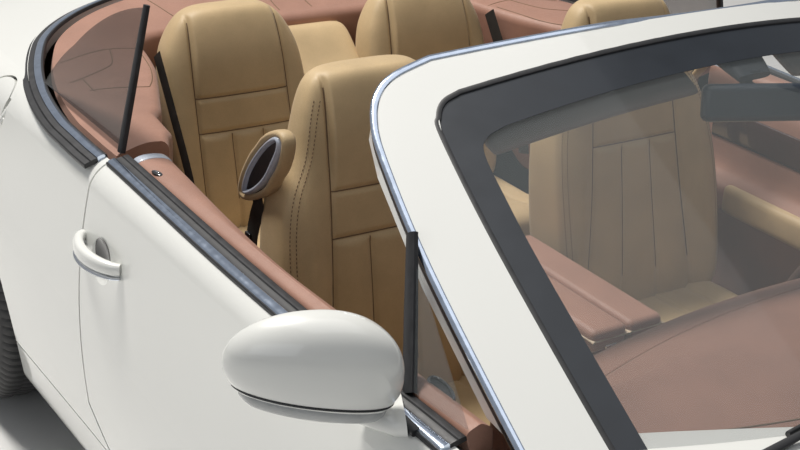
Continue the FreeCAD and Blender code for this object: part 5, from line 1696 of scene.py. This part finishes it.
def engineDress():
    covers, ribs, runners, pulleys = bmesh.new(), bmesh.new(), bmesh.new(), bmesh.new()
    x, station, z = engine["cover"]
    wide, long, tall = engine["coverSize"]
    for side in (-1, 1):
        roundedBox(covers, at(side * x, station, z), (wide, long, tall), 0.018)
        for k in range(engine["ribs"]):
            along = station + long * 0.42 * (2 * k / (engine["ribs"] - 1) - 1)
            roundedBox(ribs, at(side * x, along, z + tall / 2), (wide * 0.72, 0.012, 0.010), 0.004)
    makePiece("engine_covers", covers, "chassis", "alloy", 50)
    x, station, z = engine["plenum"]
    roundedBox(ribs, at(x, station, z), engine["plenumSize"], 0.026)
    for k in range(engine["fins"]):
        across = engine["finGap"] * (k - (engine["fins"] - 1) / 2)
        roundedBox(ribs, at(x + across, station, z + 0.031), (0.008, 0.44, 0.008), 0.003)
    makePiece("engine_plenum", ribs, "chassis", "gloss", 50)
    for side in (-1, 1):
        for k in range(engine["runners"]):
            along = engine["runnerStart"] + engine["runnerGap"] * k
            line = smoothPath([at(side * x, along, z) for x, z in engine["runner"]], 5)
            sweep(runners, line, rearward, roundOutline(0.016, 0.016, 14))
    makePiece("engine_runners", runners, "chassis", "cast", 50)
    for x, z, radius in engine["pulleys"]:
        made = bmesh.ops.create_cone(pulleys, cap_ends=True, segments=56, radius1=radius, radius2=radius,
                                     depth=0.020)["verts"]
        caps = [face for face in {f for vert in made for f in vert.link_faces} if len(face.verts) > 4]
        inner = bmesh.ops.inset_individual(pulleys, faces=caps, thickness=radius * 0.22, depth=-0.005)["faces"]
        verts = list(set(made) | {vert for face in inner for vert in face.verts})
        bmesh.ops.rotate(pulleys, cent=(0, 0, 0), matrix=turned(90, "X"), verts=verts)
        bmesh.ops.translate(pulleys, vec=at(x, engine["face"], z), verts=verts)
    makePiece("engine_pulleys", pulleys, "chassis", "steel", 40)
    sweptPiece("engine_belt", "chassis", "seal", beltBand(96), rearward,
               roundOutline(0.0022, 0.008, 8, 4), 60, closed=True)


engineDress()
print("engine dressed")

# Room, light and camera

room = {
    "floor": (0.80, 0.80, 0.79, 1), "tint": (0.93, 0.96, 1.0, 1),
    "backdrop": 1.0, "fill": 0.17, "mirrored": 0.32,
    # name, place, aim, size, power, colour
    "lights": (("key", (-1.4, 3.4, 7.6), (0, 0.2, 0.8), (1.6, 1.6), 660, (1.0, 0.965, 0.91)),
               ("left fill", (-6.0, -3.5, 3.4), (0, 0, 0.8), (5.0, 3.0), 44, (0.93, 0.96, 1.0)),
               ("overhead", (0.0, -0.5, 5.5), (0, 0, 0.5), (4.0, 4.0), 40, (1.0, 1.0, 1.0))),
}


def backdropWorld():
    # bright where it is seen or seen through, darker in reflections and faint as light
    world = bpy.data.worlds.new("studio")
    scene.world = world
    world.use_nodes = True
    graph = Graph(world.node_tree, "Background", {"Color": room["tint"]})
    camera, through, glossy = (graph.node("ShaderNodeLightPath", output=f"Is {kind} Ray")
                               for kind in ("Camera", "Transmission", "Glossy"))
    graph.feed("Strength", camera.highest(through) * (room["backdrop"] - room["fill"]) + room["fill"]
               + glossy * (room["mirrored"] - room["fill"]))


def areaLight(name, place, aim, size, power, colour):
    light = bpy.data.lights.new(name, "AREA")
    light.shape = "RECTANGLE"
    light.size, light.size_y = size
    light.energy = power
    light.color = colour
    lamp = bpy.data.objects.new(name, light)
    scene.collection.objects.link(lamp)
    back = (Vector(place) - Vector(aim)).normalized()
    lamp.matrix_world = Matrix.Translation(place) @ back.to_track_quat("Z", "Y").to_matrix().to_4x4()


def floorPlane():
    mesh = bmesh.new()
    bmesh.ops.create_grid(mesh, x_segments=2, y_segments=2, size=60)
    bmesh.ops.translate(mesh, vec=(0, 0, cadLow.z - 0.001), verts=mesh.verts)
    finish = Finish("studio floor", {"Roughness": 0.9})
    finish.feed("Base Color", finish.blend(finish.noise(0.6, 3.0), shade(room["floor"], 0.97), room["floor"]))
    data = bpy.data.meshes.new("floor")
    mesh.to_mesh(data)
    data.materials.append(finish.material)
    floor = bpy.data.objects.new("floor", data)
    scene.collection.objects.link(floor)


view = {
    "place": (-1.81022, 0.53764, 1.97636),  # x, station, z
    "azimuth": -34.158, "elevation": 24.026, "roll": 3.277,
    "focal": 1390.99, "pixels": 800, "sensor": 36.0,
}


def photoCamera():
    azimuth, elevation, roll = (math.radians(view[key]) for key in ("azimuth", "elevation", "roll"))
    back = Vector((math.sin(azimuth) * math.cos(elevation), -math.cos(azimuth) * math.cos(elevation),
                   math.sin(elevation)))
    right = overhead.cross(back).normalized()
    up = back.cross(right)
    turnedRight = right * math.cos(roll) + up * math.sin(roll)
    turnedUp = up * math.cos(roll) - right * math.sin(roll)
    camera = bpy.data.cameras.new("photo view")
    camera.sensor_width = view["sensor"]
    camera.lens = view["focal"] / view["pixels"] * view["sensor"]
    camera.clip_end = 200
    seat = bpy.data.objects.new("photo view", camera)
    scene.collection.objects.link(seat)
    turn = Matrix((turnedRight, turnedUp, back)).transposed().to_4x4()
    seat.matrix_world = Matrix.Translation(at(*view["place"])) @ turn
    scene.camera = seat


backdropWorld()
for settings in room["lights"]:
    areaLight(*settings)
floorPlane()
photoCamera()
scene.view_settings.view_transform = "Standard"
print("room lit")
